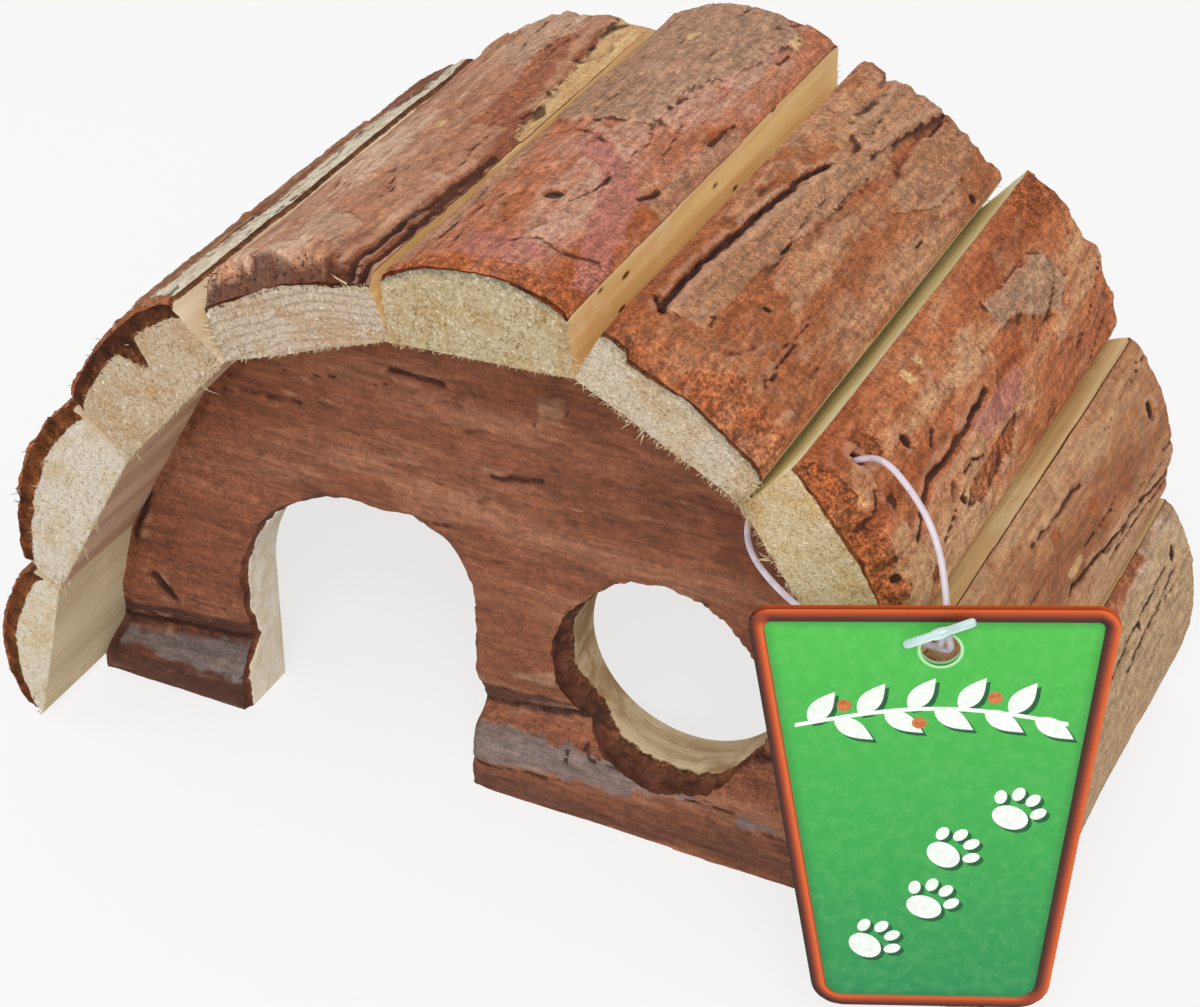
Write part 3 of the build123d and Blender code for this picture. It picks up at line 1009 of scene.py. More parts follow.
@dataclass
class Slab:
    """One bark-faced slab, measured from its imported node."""

    number: int
    tilt: float
    relief: BarkRelief
    bark: BarkFinish
    end: SawnEndFinish
    planed: PlanedFinish
    style: EndStyle = EndStyle()
    inner: PlanedFinish = PlanedFinish((206, 172, 146), (180, 142, 116))
    cell: float = 0.42
    cells_up: int = 16
    relief_limits: Place = (-2.2, 1.3)
    side_rounding: float = 0.45
    sharp: float = 48.0

    def __post_init__(self) -> None:
        """Reads the slab's place, width and bark profile from its node."""
        self.name = f"slat_{self.number}"
        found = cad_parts[self.name].data.vertices
        points = np.array([v.co for v in found], float) / MM
        turn = math.radians(self.tilt)
        self.across = np.array([math.cos(turn), 0, -math.sin(turn)])
        self.out = np.array([math.sin(turn), 0, math.cos(turn)])
        u, h, y = points @ self.across, points @ self.out, points[:, 1]
        self.base, self.front, self.rear = h.min(), y.min(), y.max()
        flat = h < self.base + 0.01
        self.first, self.width = u[flat].min(), u[flat].max() - u[flat].min()
        ring = (y < self.front + 0.01) & (h > self.base + 0.5)
        order = np.argsort(u[ring])
        self.profile_u = u[ring][order] - self.first
        self.profile_h = h[ring][order] - self.base
        self.length = self.rear - self.front

    def corner(self, share: float) -> Place:
        """Place on the inner face, by its share of the width, as x and z."""
        where = self.across * (self.first + share * self.width) + self.out * self.base
        return float(where[0]), float(where[2])

    def height_at(self, u: Array) -> Array:
        """Height of the plain bark face at a distance across."""
        return np.interp(u, self.profile_u, self.profile_h)

    def wood_at(self, u: float) -> float:
        """Finds the height of the sawn ends' bare wood.

        Args:
            u: Distance across the slab.

        Returns:
            The height over its inner face.
        """
        if self.style.wood_top:
            return float(np.interp(u / self.width, *np.array(self.style.wood_top).T)) - self.style.rind
        return float(self.height_at(np.array([u]))[0]) - self.style.rind - self.style.bevel_drop - 0.2

    def world(self, u: Array, h: Array, y: Array) -> Array:
        """Turns places on the slab into points of the part.

        Args:
            u: Distances across it.
            h: Heights over its inner face.
            y: Distances along it.

        Returns:
            Rows of three coordinates.
        """
        flat = np.outer(np.ravel(self.first + u), self.across)
        flat += np.outer(np.ravel(self.base + h), self.out)
        flat[:, 1] = np.ravel(self.front + y)
        return flat

    def bark_sheet(self, columns: int, rows: int) -> dict[str, Array]:
        """Works out the bark face on a regular grid.

        Args:
            columns: Cells across it.
            rows: Cells along it.

        Returns:
            Its relief and masks.
        """
        steps = np.linspace(0, 1, columns + 1), np.linspace(0, 1, rows + 1)
        share, run = np.meshgrid(*steps, indexing="ij")
        low = self.profile_u[0]
        u = low + share * (self.profile_u[-1] - low)
        y = run * self.length
        sheet = self.relief.shape(u, y, self.width, self.length)
        noise = Noise(self.number + 300)
        ragged = 0.5 * noise.fractal(u / 1.7, y / 1.7, 3, 3)
        reach = self.style.bevel * (1 + 0.7 * noise.fractal(u / 3.5, np.zeros_like(u), 3, 9))
        from_end = np.minimum(y, self.length - y) + ragged * (y < 8)
        slope = 1 - ease(from_end / np.maximum(reach, 0.3), 0, 1)
        full = np.full_like(u, self.style.bevel_drop)
        if self.style.wood_top:
            line = np.interp(u / self.width, *np.array(self.style.wood_top).T)
            full = np.maximum(self.height_at(u) - line, 0.15)
        from_side = np.minimum(u - low, self.profile_u[-1] - u)
        round_off = self.side_rounding * (1 - ease(from_side, 0, 1.1))
        fade = 0.45 + 0.55 * ease(from_side, 0, 1.2)
        sheet["relief"] = np.clip(sheet["relief"] * fade, *self.relief_limits)
        sheet["lift"] = sheet["relief"] * (1 - 0.6 * slope) - full * slope - round_off
        sheet["cavity"] = blurred(sheet["relief"], 3) - sheet["relief"]
        sheet["rind"] = self.style.rind + 0.35 * noise.fractal(u / 5, y / 12, 2, 20)
        for place, reach_u, extra in self.style.inclusions:
            sheet["rind"] += extra * np.exp(-(((u / self.width - place) / reach_u) ** 2))
        edge, strength = self.style.edge.value, self.style.edge_strength
        near_end = np.maximum(slope, 1 - ease(from_end, 0.6, 2.6))
        sheet[edge] = np.maximum(sheet[edge], strength * near_end)
        return sheet

    def build(self, materials: list[Material]) -> Thing:
        """Makes the slab's mesh.

        Args:
            materials: Bark, planed side, sawn end, fibre and inner face.

        Returns:
            The object.
        """
        columns = round(self.width / self.cell)
        rows = round(self.length / self.cell)
        places, faces = block_skin(columns, self.cells_up, rows)
        i, j, k = places.T
        sheet = self.bark_sheet(columns, rows)
        share, up = i / columns, j / self.cells_up
        low = self.profile_u[0]
        top_u = low + share * (self.profile_u[-1] - low)
        u = share * self.width * (1 - up) + top_u * up
        noise = Noise(self.number + 700)
        top_h = self.height_at(top_u) + sheet["lift"][i, k]
        h = up * top_h
        y = k / rows * self.length
        on_end = (k == 0) | (k == rows)
        outward_y = np.where(k == 0, -1.0, 1.0) * on_end
        wool = self.style.wool * noise.fractal(u / 0.8, h / 0.8, 3, 1, 0.65)
        below = top_h - h
        rind = sheet["rind"][i, k]
        bark_set = ease(rind - below, -0.1, 0.5) * (0.35 + 0.4 * noise.fractal(u / 1.3, h / 1.3, 2, 4))
        wave = 0.35 * noise.fractal(u / 9, h / 9, 2, 7)
        y = y + outward_y * (wool + wave * 0.5 - bark_set - 0.12)
        on_side = ((i == 0) | (i == columns)) & (j > 0) & (j < self.cells_up)
        u = u + np.where(i == 0, -1, 1) * on_side * 0.09 * noise.fractal(h / 1.5, y / 9, 3, 12)
        names = ("relief", "cavity", "fissure", "rind", *(tint.value for tint in Tint))
        shape = Shape.empty((*names, "depth"))
        values = {name: sheet[name][i, k] for name in names}
        shape.add(self.world(u, h, y), faces, depth=np.maximum(below, 0), **values)
        self.add_fibres(shape)
        made = shape.build(f"{self.name}_bark_slab", materials, self.sharp)
        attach(made, "house")
        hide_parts(self.name)
        log.info("%s: %d faces", made.name, len(made.data.polygons))
        return made

    def add_fibres(self, shape: Shape) -> None:
        """Adds the saw's loose fibres to both ends.

        Args:
            shape: The slab's mesh.
        """
        fuzz = Fuzz(self.number * 11 + 3, shape)
        style = self.style
        for place, high, aim_u, aim_h, length in style.splinters:
            for _ in range(3):
                u, h = place * self.width + fuzz.draw.normal(0, 0.5), high + fuzz.draw.normal(0, 0.5)
                aim = (aim_u + fuzz.draw.normal(0, 0.15), aim_h + fuzz.draw.normal(0, 0.15), -0.35)
                self.fibre(fuzz, (u, h, -0.1), aim, length / style.fibre_length, 0.16)
        for _ in range(style.tufts):
            u, share = fuzz.draw.uniform(0.3, self.width - 0.3), fuzz.draw.uniform(0, 1)
            wood, bark = self.wood_at(u), float(self.height_at(np.array([u]))[0])
            root = (u, wood + (bark - wood) * share - 0.15, style.bevel * share * 0.9)
            aim = (fuzz.draw.normal(0, 0.6), 0.9 + fuzz.draw.normal(0, 0.5), -0.9)
            self.fibre(fuzz, root, aim, 1.4, 0.11, 0.0)
        for y, facing in ((0.0, -1.0), (self.length, 1.0)):
            fewer = 1.0 if facing < 0 else style.rear_share
            side_top = min(self.wood_at(0.2), self.wood_at(self.width - 0.2))
            for _ in range(int(style.inner_fibres * fewer)):
                u = fuzz.draw.uniform(0.2, self.width - 0.2)
                self.fibre(fuzz, (u, 0.05, y), (fuzz.draw.normal(0, 0.5), -0.5, facing * 0.8))
            for _ in range(int(style.bark_fibres * fewer)):
                u = fuzz.draw.uniform(0.4, self.width - 0.4)
                aim = (fuzz.draw.normal(0, 0.4), 0.8, facing)
                self.fibre(fuzz, (u, self.wood_at(u), y - facing * 0.2), aim)
            for _ in range(int(style.side_fibres * fewer)):
                right = fuzz.draw.random() < 0.5
                u = self.width if right else 0.0
                h = fuzz.draw.uniform(0.2, max(side_top - 0.4, 1.0))
                aim = (0.8 if right else -0.8, fuzz.draw.normal(0, 0.4), facing * 0.7)
                self.fibre(fuzz, (u, h, y), aim)
            for _ in range(int(style.face_fibres * fewer)):
                u = fuzz.draw.uniform(0.4, self.width - 0.4)
                h = fuzz.draw.uniform(0.2, max(self.wood_at(u), 1.0))
                aim = (fuzz.draw.normal(0, 1.0), fuzz.draw.normal(0, 1.0), facing * 0.5)
                self.fibre(fuzz, (u, h, y - facing * 0.1), aim, 0.45)

    def fibre(
        self, fuzz: Fuzz, place: Spot, aim: Spot, share: float = 1.0, thickest: float = 0.085,
        depth: float = SOLID,
    ) -> None:
        """Adds one fibre at a place given across, outward and along.

        Args:
            fuzz: The fibres' maker.
            place: Its root on the slab.
            aim: Where it points, the same way.
            share: Its length as a share of the style's.
            thickest: The greatest radius it may have at its root.
            depth: How deep under the bark it counts as, which gives its colour.
        """
        root = self.world(*np.array(place)[:, None])[0]
        direction = aim[0] * self.across + aim[1] * self.out + np.array([0, aim[2], 0])
        length = share * self.style.fibre_length * float(fuzz.draw.uniform(0.35, 1.5))
        radius = float(fuzz.draw.uniform(0.45, 1.0)) * thickest
        fuzz.grow(root, direction, length, radius, depth)


def soft_loop(corners: list[Spot], gap: float) -> Array:
    """Closed line through corners that are rounded, with points evenly spaced.

    Args:
        corners: Each corner's two coordinates and its radius.
        gap: Distance between points.

    Returns:
        The points, one row each.
    """
    line = []
    for n, (u, v, radius) in enumerate(corners):
        here = np.array([u, v])
        before = np.array(corners[n - 1][:2]) - here
        after = np.array(corners[(n + 1) % len(corners)][:2]) - here
        before /= np.linalg.norm(before)
        after /= np.linalg.norm(after)
        half = math.acos(float(np.clip(before @ after, -1, 1))) / 2
        if radius <= 0:
            line.append(here)
            continue
        middle = here + (before + after) / np.linalg.norm(before + after) * radius / math.sin(half)
        start = here + before * radius / math.tan(half) - middle
        stop = here + after * radius / math.tan(half) - middle
        for share in np.linspace(0, 1, 13):
            turned = start * (1 - share) + stop * share
            line.append(middle + turned / np.linalg.norm(turned) * radius)
    line.append(line[0])
    line = np.array(line)
    run = np.concatenate([[0], np.cumsum(np.hypot(*np.diff(line, axis=0).T))])
    count = max(int(run[-1] / gap), 8)
    marks = np.linspace(0, run[-1], count, endpoint=False)
    kept = [mark for mark in run[:-1] if np.abs(marks - mark).min() > gap * 0.35]
    marks = np.sort(np.concatenate([marks, kept]))
    return np.column_stack([np.interp(marks, run, line[:, 0]), np.interp(marks, run, line[:, 1])])


def circle(middle: Place, radius: float, gap: float) -> Array:
    """Points on a circle, going clockwise."""
    turns = -np.linspace(0, 2 * math.pi, max(int(2 * math.pi * radius / gap), 12), endpoint=False)
    return np.column_stack([middle[0] + radius * np.cos(turns), middle[1] + radius * np.sin(turns)])


def into_wood(loop: Array) -> Array:
    """Finds the way into the wood, which lies on a line's left.

    Args:
        loop: The closed line.

    Returns:
        One unit direction for each point.
    """
    along = np.roll(loop, -1, axis=0) - np.roll(loop, 1, axis=0)
    along /= np.linalg.norm(along, axis=1)[:, None]
    return np.column_stack([-along[:, 1], along[:, 0]])


def fill(
    loops: list[Array], lines: list[Array], spacing: float, seed: int
) -> tuple[Array, Array, list[Array]]:
    """Triangles over the area inside the first loop and outside the others.

    Args:
        loops: Closed boundary lines.
        lines: Closed lines inside the area that the triangles' edges follow.
        spacing: Distance between the points within.
        seed: Fixes their places.

    Returns:
        The points, the triangles, and each boundary's point numbers.
    """
    outer, *holes = loops
    low, high = outer.min(0), outer.max(0)
    i, j = np.meshgrid(
        np.arange(int((high[0] - low[0]) / spacing) + 1),
        np.arange(int((high[1] - low[1]) / spacing / 0.87) + 1),
        indexing="ij",
    )
    jitter = np.random.default_rng(seed).uniform(-0.18, 0.18, (2, *i.shape)) * spacing
    u = (low[0] + (i + 0.5 * (j % 2)) * spacing + jitter[0]).ravel()
    v = (low[1] + j * spacing * 0.87 + jitter[1]).ravel()
    kept = inside_distance(u, v, outer) > 0.45 * spacing
    for hole in holes:
        kept &= inside_distance(u, v, hole) < -0.45 * spacing
    for line in lines:
        kept &= line_distance(u, v, [*line, line[0]]) > 0.3 * spacing
    rows, edges, start = [], [], 0
    for loop in [*loops, *lines]:
        number = np.arange(len(loop)) + start
        edges.extend(zip(number.tolist(), np.roll(number, -1).tolist()))
        rows.append(loop)
        start += len(loop)
    rows.append(np.column_stack([u[kept], v[kept]]))
    given = [Vector(row) for row in np.concatenate(rows)]
    found = delaunay_2d_cdt(given, edges, [], 0, 1e-6, True)
    points = np.array([tuple(p) for p in found[0]])
    triangles = np.array([tuple(face) for face in found[2] if len(face) == 3])
    place = {origin: n for n, origins in enumerate(found[3]) for origin in origins}
    middle = points[triangles].mean(1)
    good = inside_distance(*middle.T, outer) > 0
    for hole in holes:
        good &= inside_distance(*middle.T, hole) < 0
    triangles = triangles[good]
    a, b, c = points[triangles[:, 0]], points[triangles[:, 1]], points[triangles[:, 2]]
    ab, ac = b - a, c - a
    turned = ab[:, 0] * ac[:, 1] - ab[:, 1] * ac[:, 0] < 0
    triangles[turned] = triangles[turned][:, ::-1]
    numbers, start = [], 0
    for loop in loops:
        numbers.append(np.array([place[n] for n in range(start, start + len(loop))]))
        start += len(loop)
    return points, triangles, numbers


def wall(rings: list[Array], flip: bool) -> Array:
    """Joins closed rings, one after another.

    Args:
        rings: The rings' point numbers.
        flip: Whether the faces are turned over.

    Returns:
        The faces.
    """
    faces = []
    for near, far in zip(rings, rings[1:]):
        faces.append(np.stack([near, far, np.roll(far, -1), np.roll(near, -1)], -1))
    joined = np.concatenate(faces)
    return joined[:, ::-1] if flip else joined


def sampled(grid: Array, u: Array, v: Array) -> Array:
    """Values of a grid between its points.

    Args:
        grid: The values.
        u: First places, in the grid's steps.
        v: Second places, in the grid's steps.

    Returns:
        One value for each place.
    """
    u = np.clip(u, 0, grid.shape[0] - 1.001)
    v = np.clip(v, 0, grid.shape[1] - 1.001)
    i, j = u.astype(int), v.astype(int)
    fu, fv = u - i, v - j
    low = grid[i, j] * (1 - fu) + grid[i + 1, j] * fu
    return low * (1 - fv) + (grid[i, j + 1] * (1 - fu) + grid[i + 1, j + 1] * fu) * fv


@dataclass
class Board:
    """An upright board with bark on its outer face, cut to the arch that the slabs follow."""

    name: str
    node: str
    arch: list[Place]
    bark_y: float
    back_y: float
    relief: BarkRelief
    profile: tuple[Place, ...] = ((0, 0), (90, 0))
    rise: tuple[Place, ...] = ((0, 0), (1, 0))
    door: tuple[Spot, ...] = ()
    window: Spot | None = None
    spacing: float = 0.6
    rind: float = 1.2
    step: float = 0.5
    relief_limits: Place = (-2.0, 1.4)
    ring_depths: tuple[float, ...] = (0.35, 0.8, 1.3, 1.9, 2.6, 3.4, 4.4, 5.6, 7.0)
    back_spacing: float = 2.2
    torn_side: float = 232.0
    sharp: float = 50.0

    @property
    def thickness(self) -> float:
        """The board's thickness in millimetres."""
        return abs(self.back_y - self.bark_y)

    def open_edges(self) -> list[tuple[Array, Array, Array]]:
        """Draws the boundary lines.

        Returns:
            Each line, with how far the bark is broken back from its points and how thick it is.
        """
        left, right = self.arch[0], self.arch[-1]
        corners = [(left[0], 0.0, 0.0), *[(x, z, 0.0) for x, z in self.arch], (right[0], 0.0, 0.0)]
        outer = soft_loop([*corners, *self.door][::-1], self.spacing)
        noise = Noise(self.relief.seed + 31)
        opening = np.zeros(len(outer))
        if self.door:
            xs = [corner[0] for corner in self.door]
            top = max(corner[1] for corner in self.door)
            near = (outer[:, 0] > min(xs) - 0.05) & (outer[:, 0] < max(xs) + 0.05)
            opening = (near & (outer[:, 1] < top + 0.05)).astype(float)
        rough = noise.fractal(outer[:, 0] / 3.2, outer[:, 1] / 3.2, 4, 1, 0.5)
        back = opening * (0.5 + 0.55 * rough)
        found = [(outer, back, np.full(len(outer), self.rind))]
        if self.window:
            x, z, radius = self.window
            ring = circle((x, z), radius, self.spacing * 0.85)
            angle = np.arctan2(ring[:, 1] - z, ring[:, 0] - x)
            lower_left = np.clip(np.cos(angle - math.radians(self.torn_side)), 0, 1) ** 0.7
            upper_right = np.clip(np.cos(angle - math.radians(self.torn_side - 180)), 0, 1) ** 5
            rough = noise.fractal(ring[:, 0] / 3.4, ring[:, 1] / 3.4, 4, 5, 0.5)
            fine = noise.fractal(ring[:, 0] / 1.1, ring[:, 1] / 1.1, 3, 6, 0.6)
            back = 0.4 + 1.7 * lower_left - 1.1 * upper_right + 0.5 * rough + 0.5 * fine
            found.append((ring, back, self.rind + 2.6 * lower_left + 0.6 * rough))
        return found

    def build(self, materials: list[Material]) -> Thing:
        """Makes the board's mesh.

        Args:
            materials: Bark, sawn faces and the openings' walls.

        Returns:
            The object.
        """
        facing = -1.0 if self.bark_y < self.back_y else 1.0
        thick = self.thickness
        edges = self.open_edges()
        front_loops = [loop + into_wood(loop) * back[:, None] for loop, back, _ in edges]
        flat, triangles, numbers = fill(front_loops, [], self.spacing, self.relief.seed)
        x0, x1 = self.arch[0][0] - 1, self.arch[-1][0] + 1
        top = max(z for _, z in self.arch) + 1
        columns, rows = int((x1 - x0) / self.step) + 2, int(top / self.step) + 2
        steps = np.arange(rows) * self.step, np.arange(columns) * self.step
        z_grid, x_grid = np.meshgrid(*steps, indexing="ij")
        grain_z = z_grid - np.interp(x_grid + x0, *np.array(self.rise).T)
        sheet = self.relief.shape(grain_z, x_grid, top, x1 - x0)
        sheet["relief"] = np.clip(sheet["relief"], *self.relief_limits)
        sheet["cavity"] = blurred(sheet["relief"], 3) - sheet["relief"]
        names = ("relief", "cavity", "fissure", *(tint.value for tint in Tint))

        def read(points: Array) -> dict[str, Array]:
            """Values of the bark face at places on the board."""
            v, u = (points[:, 0] - x0) / self.step, points[:, 1] / self.step
            return {name: sampled(sheet[name], u, v) for name in names}

        def bark_at(points: Array) -> Array:
            """How far the bark face stands out of its plane at places on the board."""
            grain = points[:, 1] - np.interp(points[:, 0], *np.array(self.rise).T)
            return np.interp(grain, *np.array(self.profile).T) + read(points)["relief"]

        shape = Shape.empty((*names, "depth", "rind"))
        away = np.full(len(flat), SOLID)
        for loop, back, _ in edges:
            if back.any():
                away = np.minimum(away, line_distance(*flat.T, loop))
        stand = bark_at(flat) - 0.5 * (1 - ease(away, 0.4, 1.8))
        points = np.column_stack([flat[:, 0], self.bark_y + facing * stand, flat[:, 1]])
        flip = facing > 0
        faces = [(triangles[:, ::-1] if flip else triangles, 0)]
        shape.add(points, faces, rind=self.rind, **read(flat))
        back_loops = []
        noise = Noise(self.relief.seed + 77)
        for (loop, back, rinds), number in zip(edges, numbers):
            normal = into_wood(loop)
            opening = (np.abs(back) > 0).astype(float)
            rings = [number]
            front_y = points[number][:, 1]
            for depth in [*[d for d in self.ring_depths if d < thick - 0.6], thick]:
                share = 1 - ease(np.full(len(loop), depth), 0.0, 1.0)
                slope = 1 - ease(depth / np.maximum(rinds * 1.15, 0.6), 0.0, 1.0)
                broken = np.where(depth < rinds * 1.1, 0.4, 0.2)
                chips = broken * noise.fractal(loop[:, 0] / 1.3 + depth, loop[:, 1] / 1.3 - depth, 3)
                shift = back * np.maximum(share, slope) + chips * opening * (depth < thick)
                flat_ring = loop + normal * shift[:, None]
                y = front_y + (self.back_y - front_y) * depth / thick
                ring = np.column_stack([flat_ring[:, 0], y, flat_ring[:, 1]])
                rings.append(np.arange(len(loop)) + shape.count)
                shape.add(ring, [], depth=depth, rind=rinds, fissure=2.0)
            shape.faces.append(wall(rings, flip))
            shape.slots.append(np.full(len(shape.faces[-1]), 2 + len(back_loops)))
            back_loops.append((loop, rings[-1]))
        self.close_back(shape, back_loops, flip)
        made = shape.build(f"{self.name}_bark_board", materials, self.sharp)
        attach(made, "house")
        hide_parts(self.node)
        log.info("%s: %d faces", made.name, len(made.data.polygons))
        return made

    def close_back(self, shape: Shape, loops: list[tuple[Array, Array]], flip: bool) -> None:
        """Adds the sawn back, in line with the walls' last rings.

        Args:
            shape: The board's mesh.
            loops: Each boundary line and its last ring's point numbers.
            flip: Whether the faces are turned over.
        """
        outlines = [loop for loop, _ in loops]
        flat, triangles, numbers = fill(outlines, [], self.back_spacing, self.relief.seed + 1)
        number = np.arange(len(flat)) + shape.count
        points = np.column_stack([flat[:, 0], np.full(len(flat), self.back_y), flat[:, 1]])
        for (_, ring), local in zip(loops, numbers):
            number[local] = ring
        used = np.unique(triangles)
        fresh = number >= shape.count
        renumber = np.full(len(flat), -1)
        keep = [n for n in used if fresh[n]]
        renumber[keep] = np.arange(len(keep)) + shape.count
        final = np.where(fresh, renumber, number)
        faces = final[triangles]
        shape.faces.append(faces if flip else faces[:, ::-1])
        shape.slots.append(np.full(len(faces), 1))
        shape.add(points[keep], [], depth=self.thickness, rind=0.3, fissure=2.0)


class Ink(Enum):
    """What each face of the card carries, with its number among the card's materials."""

    CARD = 0
    CORE = 1
    WHITE = 2
    SHADOW = 3
    COPPER = 4


def spun(outline: Array, angle: float) -> Array:
    """Flat points turned about the middle by an angle in degrees."""
    turn = math.radians(angle)
    return outline @ np.array([[math.cos(turn), math.sin(turn)], [-math.sin(turn), math.cos(turn)]])


def leaf(middle: Place, length: float, width: float, angle: float) -> Array:
    """Outline of a pointed leaf that starts at a place.

    Args:
        middle: Where its stem is.
        length: Its length.
        width: Its width.
        angle: Its direction in degrees.

    Returns:
        The outline.
    """
    share = np.linspace(0, 1, 9)
    half = width / 2 * np.sin(math.pi * share**0.8)
    upper, lower = np.column_stack([share * length, half]), np.column_stack([share * length, -half])
    return spun(np.concatenate([upper, lower[-2:0:-1]]), angle) + middle


def oval(middle: Place, length: float, width: float, angle: float, count: int = 18) -> Array:
    """Outline of an oval.

    Args:
        middle: Its middle.
        length: Its length.
        width: Its width.
        angle: Its direction in degrees.
        count: Its number of points.

    Returns:
        The outline.
    """
    turns = np.linspace(0, 2 * math.pi, count, endpoint=False)
    outline = np.column_stack([length / 2 * np.cos(turns), width / 2 * np.sin(turns)])
    return spun(outline, angle) + middle


@dataclass(frozen=True)
class CardFinish(Finish):
    """Satin printed card with a copper edge band, darker green towards its foot."""

    top: Colour = (75, 183, 71)
    middle: Colour = (55, 162, 73)
    foot: Colour = (34, 138, 78)
    band: tuple[tuple[float, Colour], ...] = (
        (0.0, (34, 18, 12)),
        (0.2, (50, 26, 18)),
        (0.36, (84, 36, 22)),
        (0.52, (152, 60, 26)),
        (0.68, (204, 88, 38)),
        (0.8, (218, 102, 46)),
        (0.94, (170, 66, 26)),
    )
    band_width: float = 1.85
    sheen: Colour = (150, 220, 140)
    band_edge: Colour = (70, 30, 16)
    shadow: Colour = (16, 66, 36)
    hole_rim: Colour = (176, 226, 168)

    def paint(self, graph: Graph) -> None:
        """Fills the material's graph.

        Args:
            graph: The graph.
        """
        stops = ((0.05, self.foot), (0.45, self.middle), (0.95, self.top))
        green = graph.ramp(graph.mask("rise"), stops)
        paper = graph.noise(graph.place(), 700, 3, 0.6)
        green = graph.cover(green, self.sheen, paper, 0.4, 0.7, 0.1)
        edge = graph.mask("edge")
        across = graph.math("SUBTRACT", 1.0, graph.times(edge, 2 / self.band_width))
        lit = graph.times(across, graph.mask("lit"))
        copper = graph.ramp(graph.plus(0.5, graph.times(lit, 0.5)), self.band)
        copper = graph.cover(copper, self.band_edge, graph.math("ABSOLUTE", across), 0.72, 1.0, 0.45)
        green = graph.cover(green, self.shadow, edge, self.band_width + 1.3, self.band_width, 0.3)
        tone = graph.cover(green, copper, edge, self.band_width + 0.06, self.band_width)
        tone = graph.cover(tone, self.hole_rim, graph.mask("hole"), 0.6, 0.35)
        rough = graph.plus(0.44, graph.times(paper, 0.12))
        normal = graph.bump(paper, 0.04, 0.5)
        graph.shade(tone, normal, rough, 0.3, Coat_Weight=0.06, Coat_Roughness=0.25)


@dataclass(frozen=True)
class InkFinish(Finish):
    """One printed ink, or the card's own edge, with the paper's fine tooth in it."""

    tone: Colour
    mottle: Colour
    gloss: float = 0.4

    def paint(self, graph: Graph) -> None:
        """Fills the material's graph.

        Args:
            graph: The graph.
        """
        paper = graph.noise(graph.place(), 1400, 3, 0.6)
        tone = graph.cover(self.mottle, self.tone, paper, 0.35, 0.7)
        graph.shade(tone, graph.bump(paper, 0.04, 0.5), self.gloss, 0.3)


@dataclass(frozen=True)
class SteelFinish(Finish):
    """Dull wire-nail steel with a little rust."""

    steel: Colour = (86, 82, 78)
    rust: Colour = (92, 54, 34)

    def paint(self, graph: Graph) -> None:
        """Fills the material's graph.

        Args:
            graph: The graph.
        """
        patches = graph.noise(graph.place(), 900, 4, 0.65)
        rusty = graph.smooth(patches, 0.46, 0.6)
        tone = graph.blend(rusty, self.steel, self.rust)
        rough = graph.plus(0.4, graph.times(rusty, 0.4))
        graph.shade(tone, graph.bump(patches, 0.1, 0.6), rough, Metallic=graph.math("SUBTRACT", 1.0, rusty))


@dataclass(frozen=True)
class NylonFinish(Finish):
    """Clear moulded nylon, clouded a little and scuffed."""

    tone: Colour = (226, 236, 244)
    cloud: Colour = (196, 212, 226)
    clear: float = 0.6
    gloss: float = 0.2
    scale: float = 500.0

    def paint(self, graph: Graph) -> None:
        """Fills the material's graph.

        Args:
            graph: The graph.
        """
        cloud = graph.noise(graph.place(), self.scale, 3, 0.6)
        tone = graph.cover(self.tone, self.cloud, cloud, 0.4, 0.65)
        rough = graph.plus(self.gloss, graph.times(cloud, 0.15))
        graph.shade(tone, graph.bump(cloud, 0.01, 0.25), rough, Transmission_Weight=self.clear, IOR=1.53)


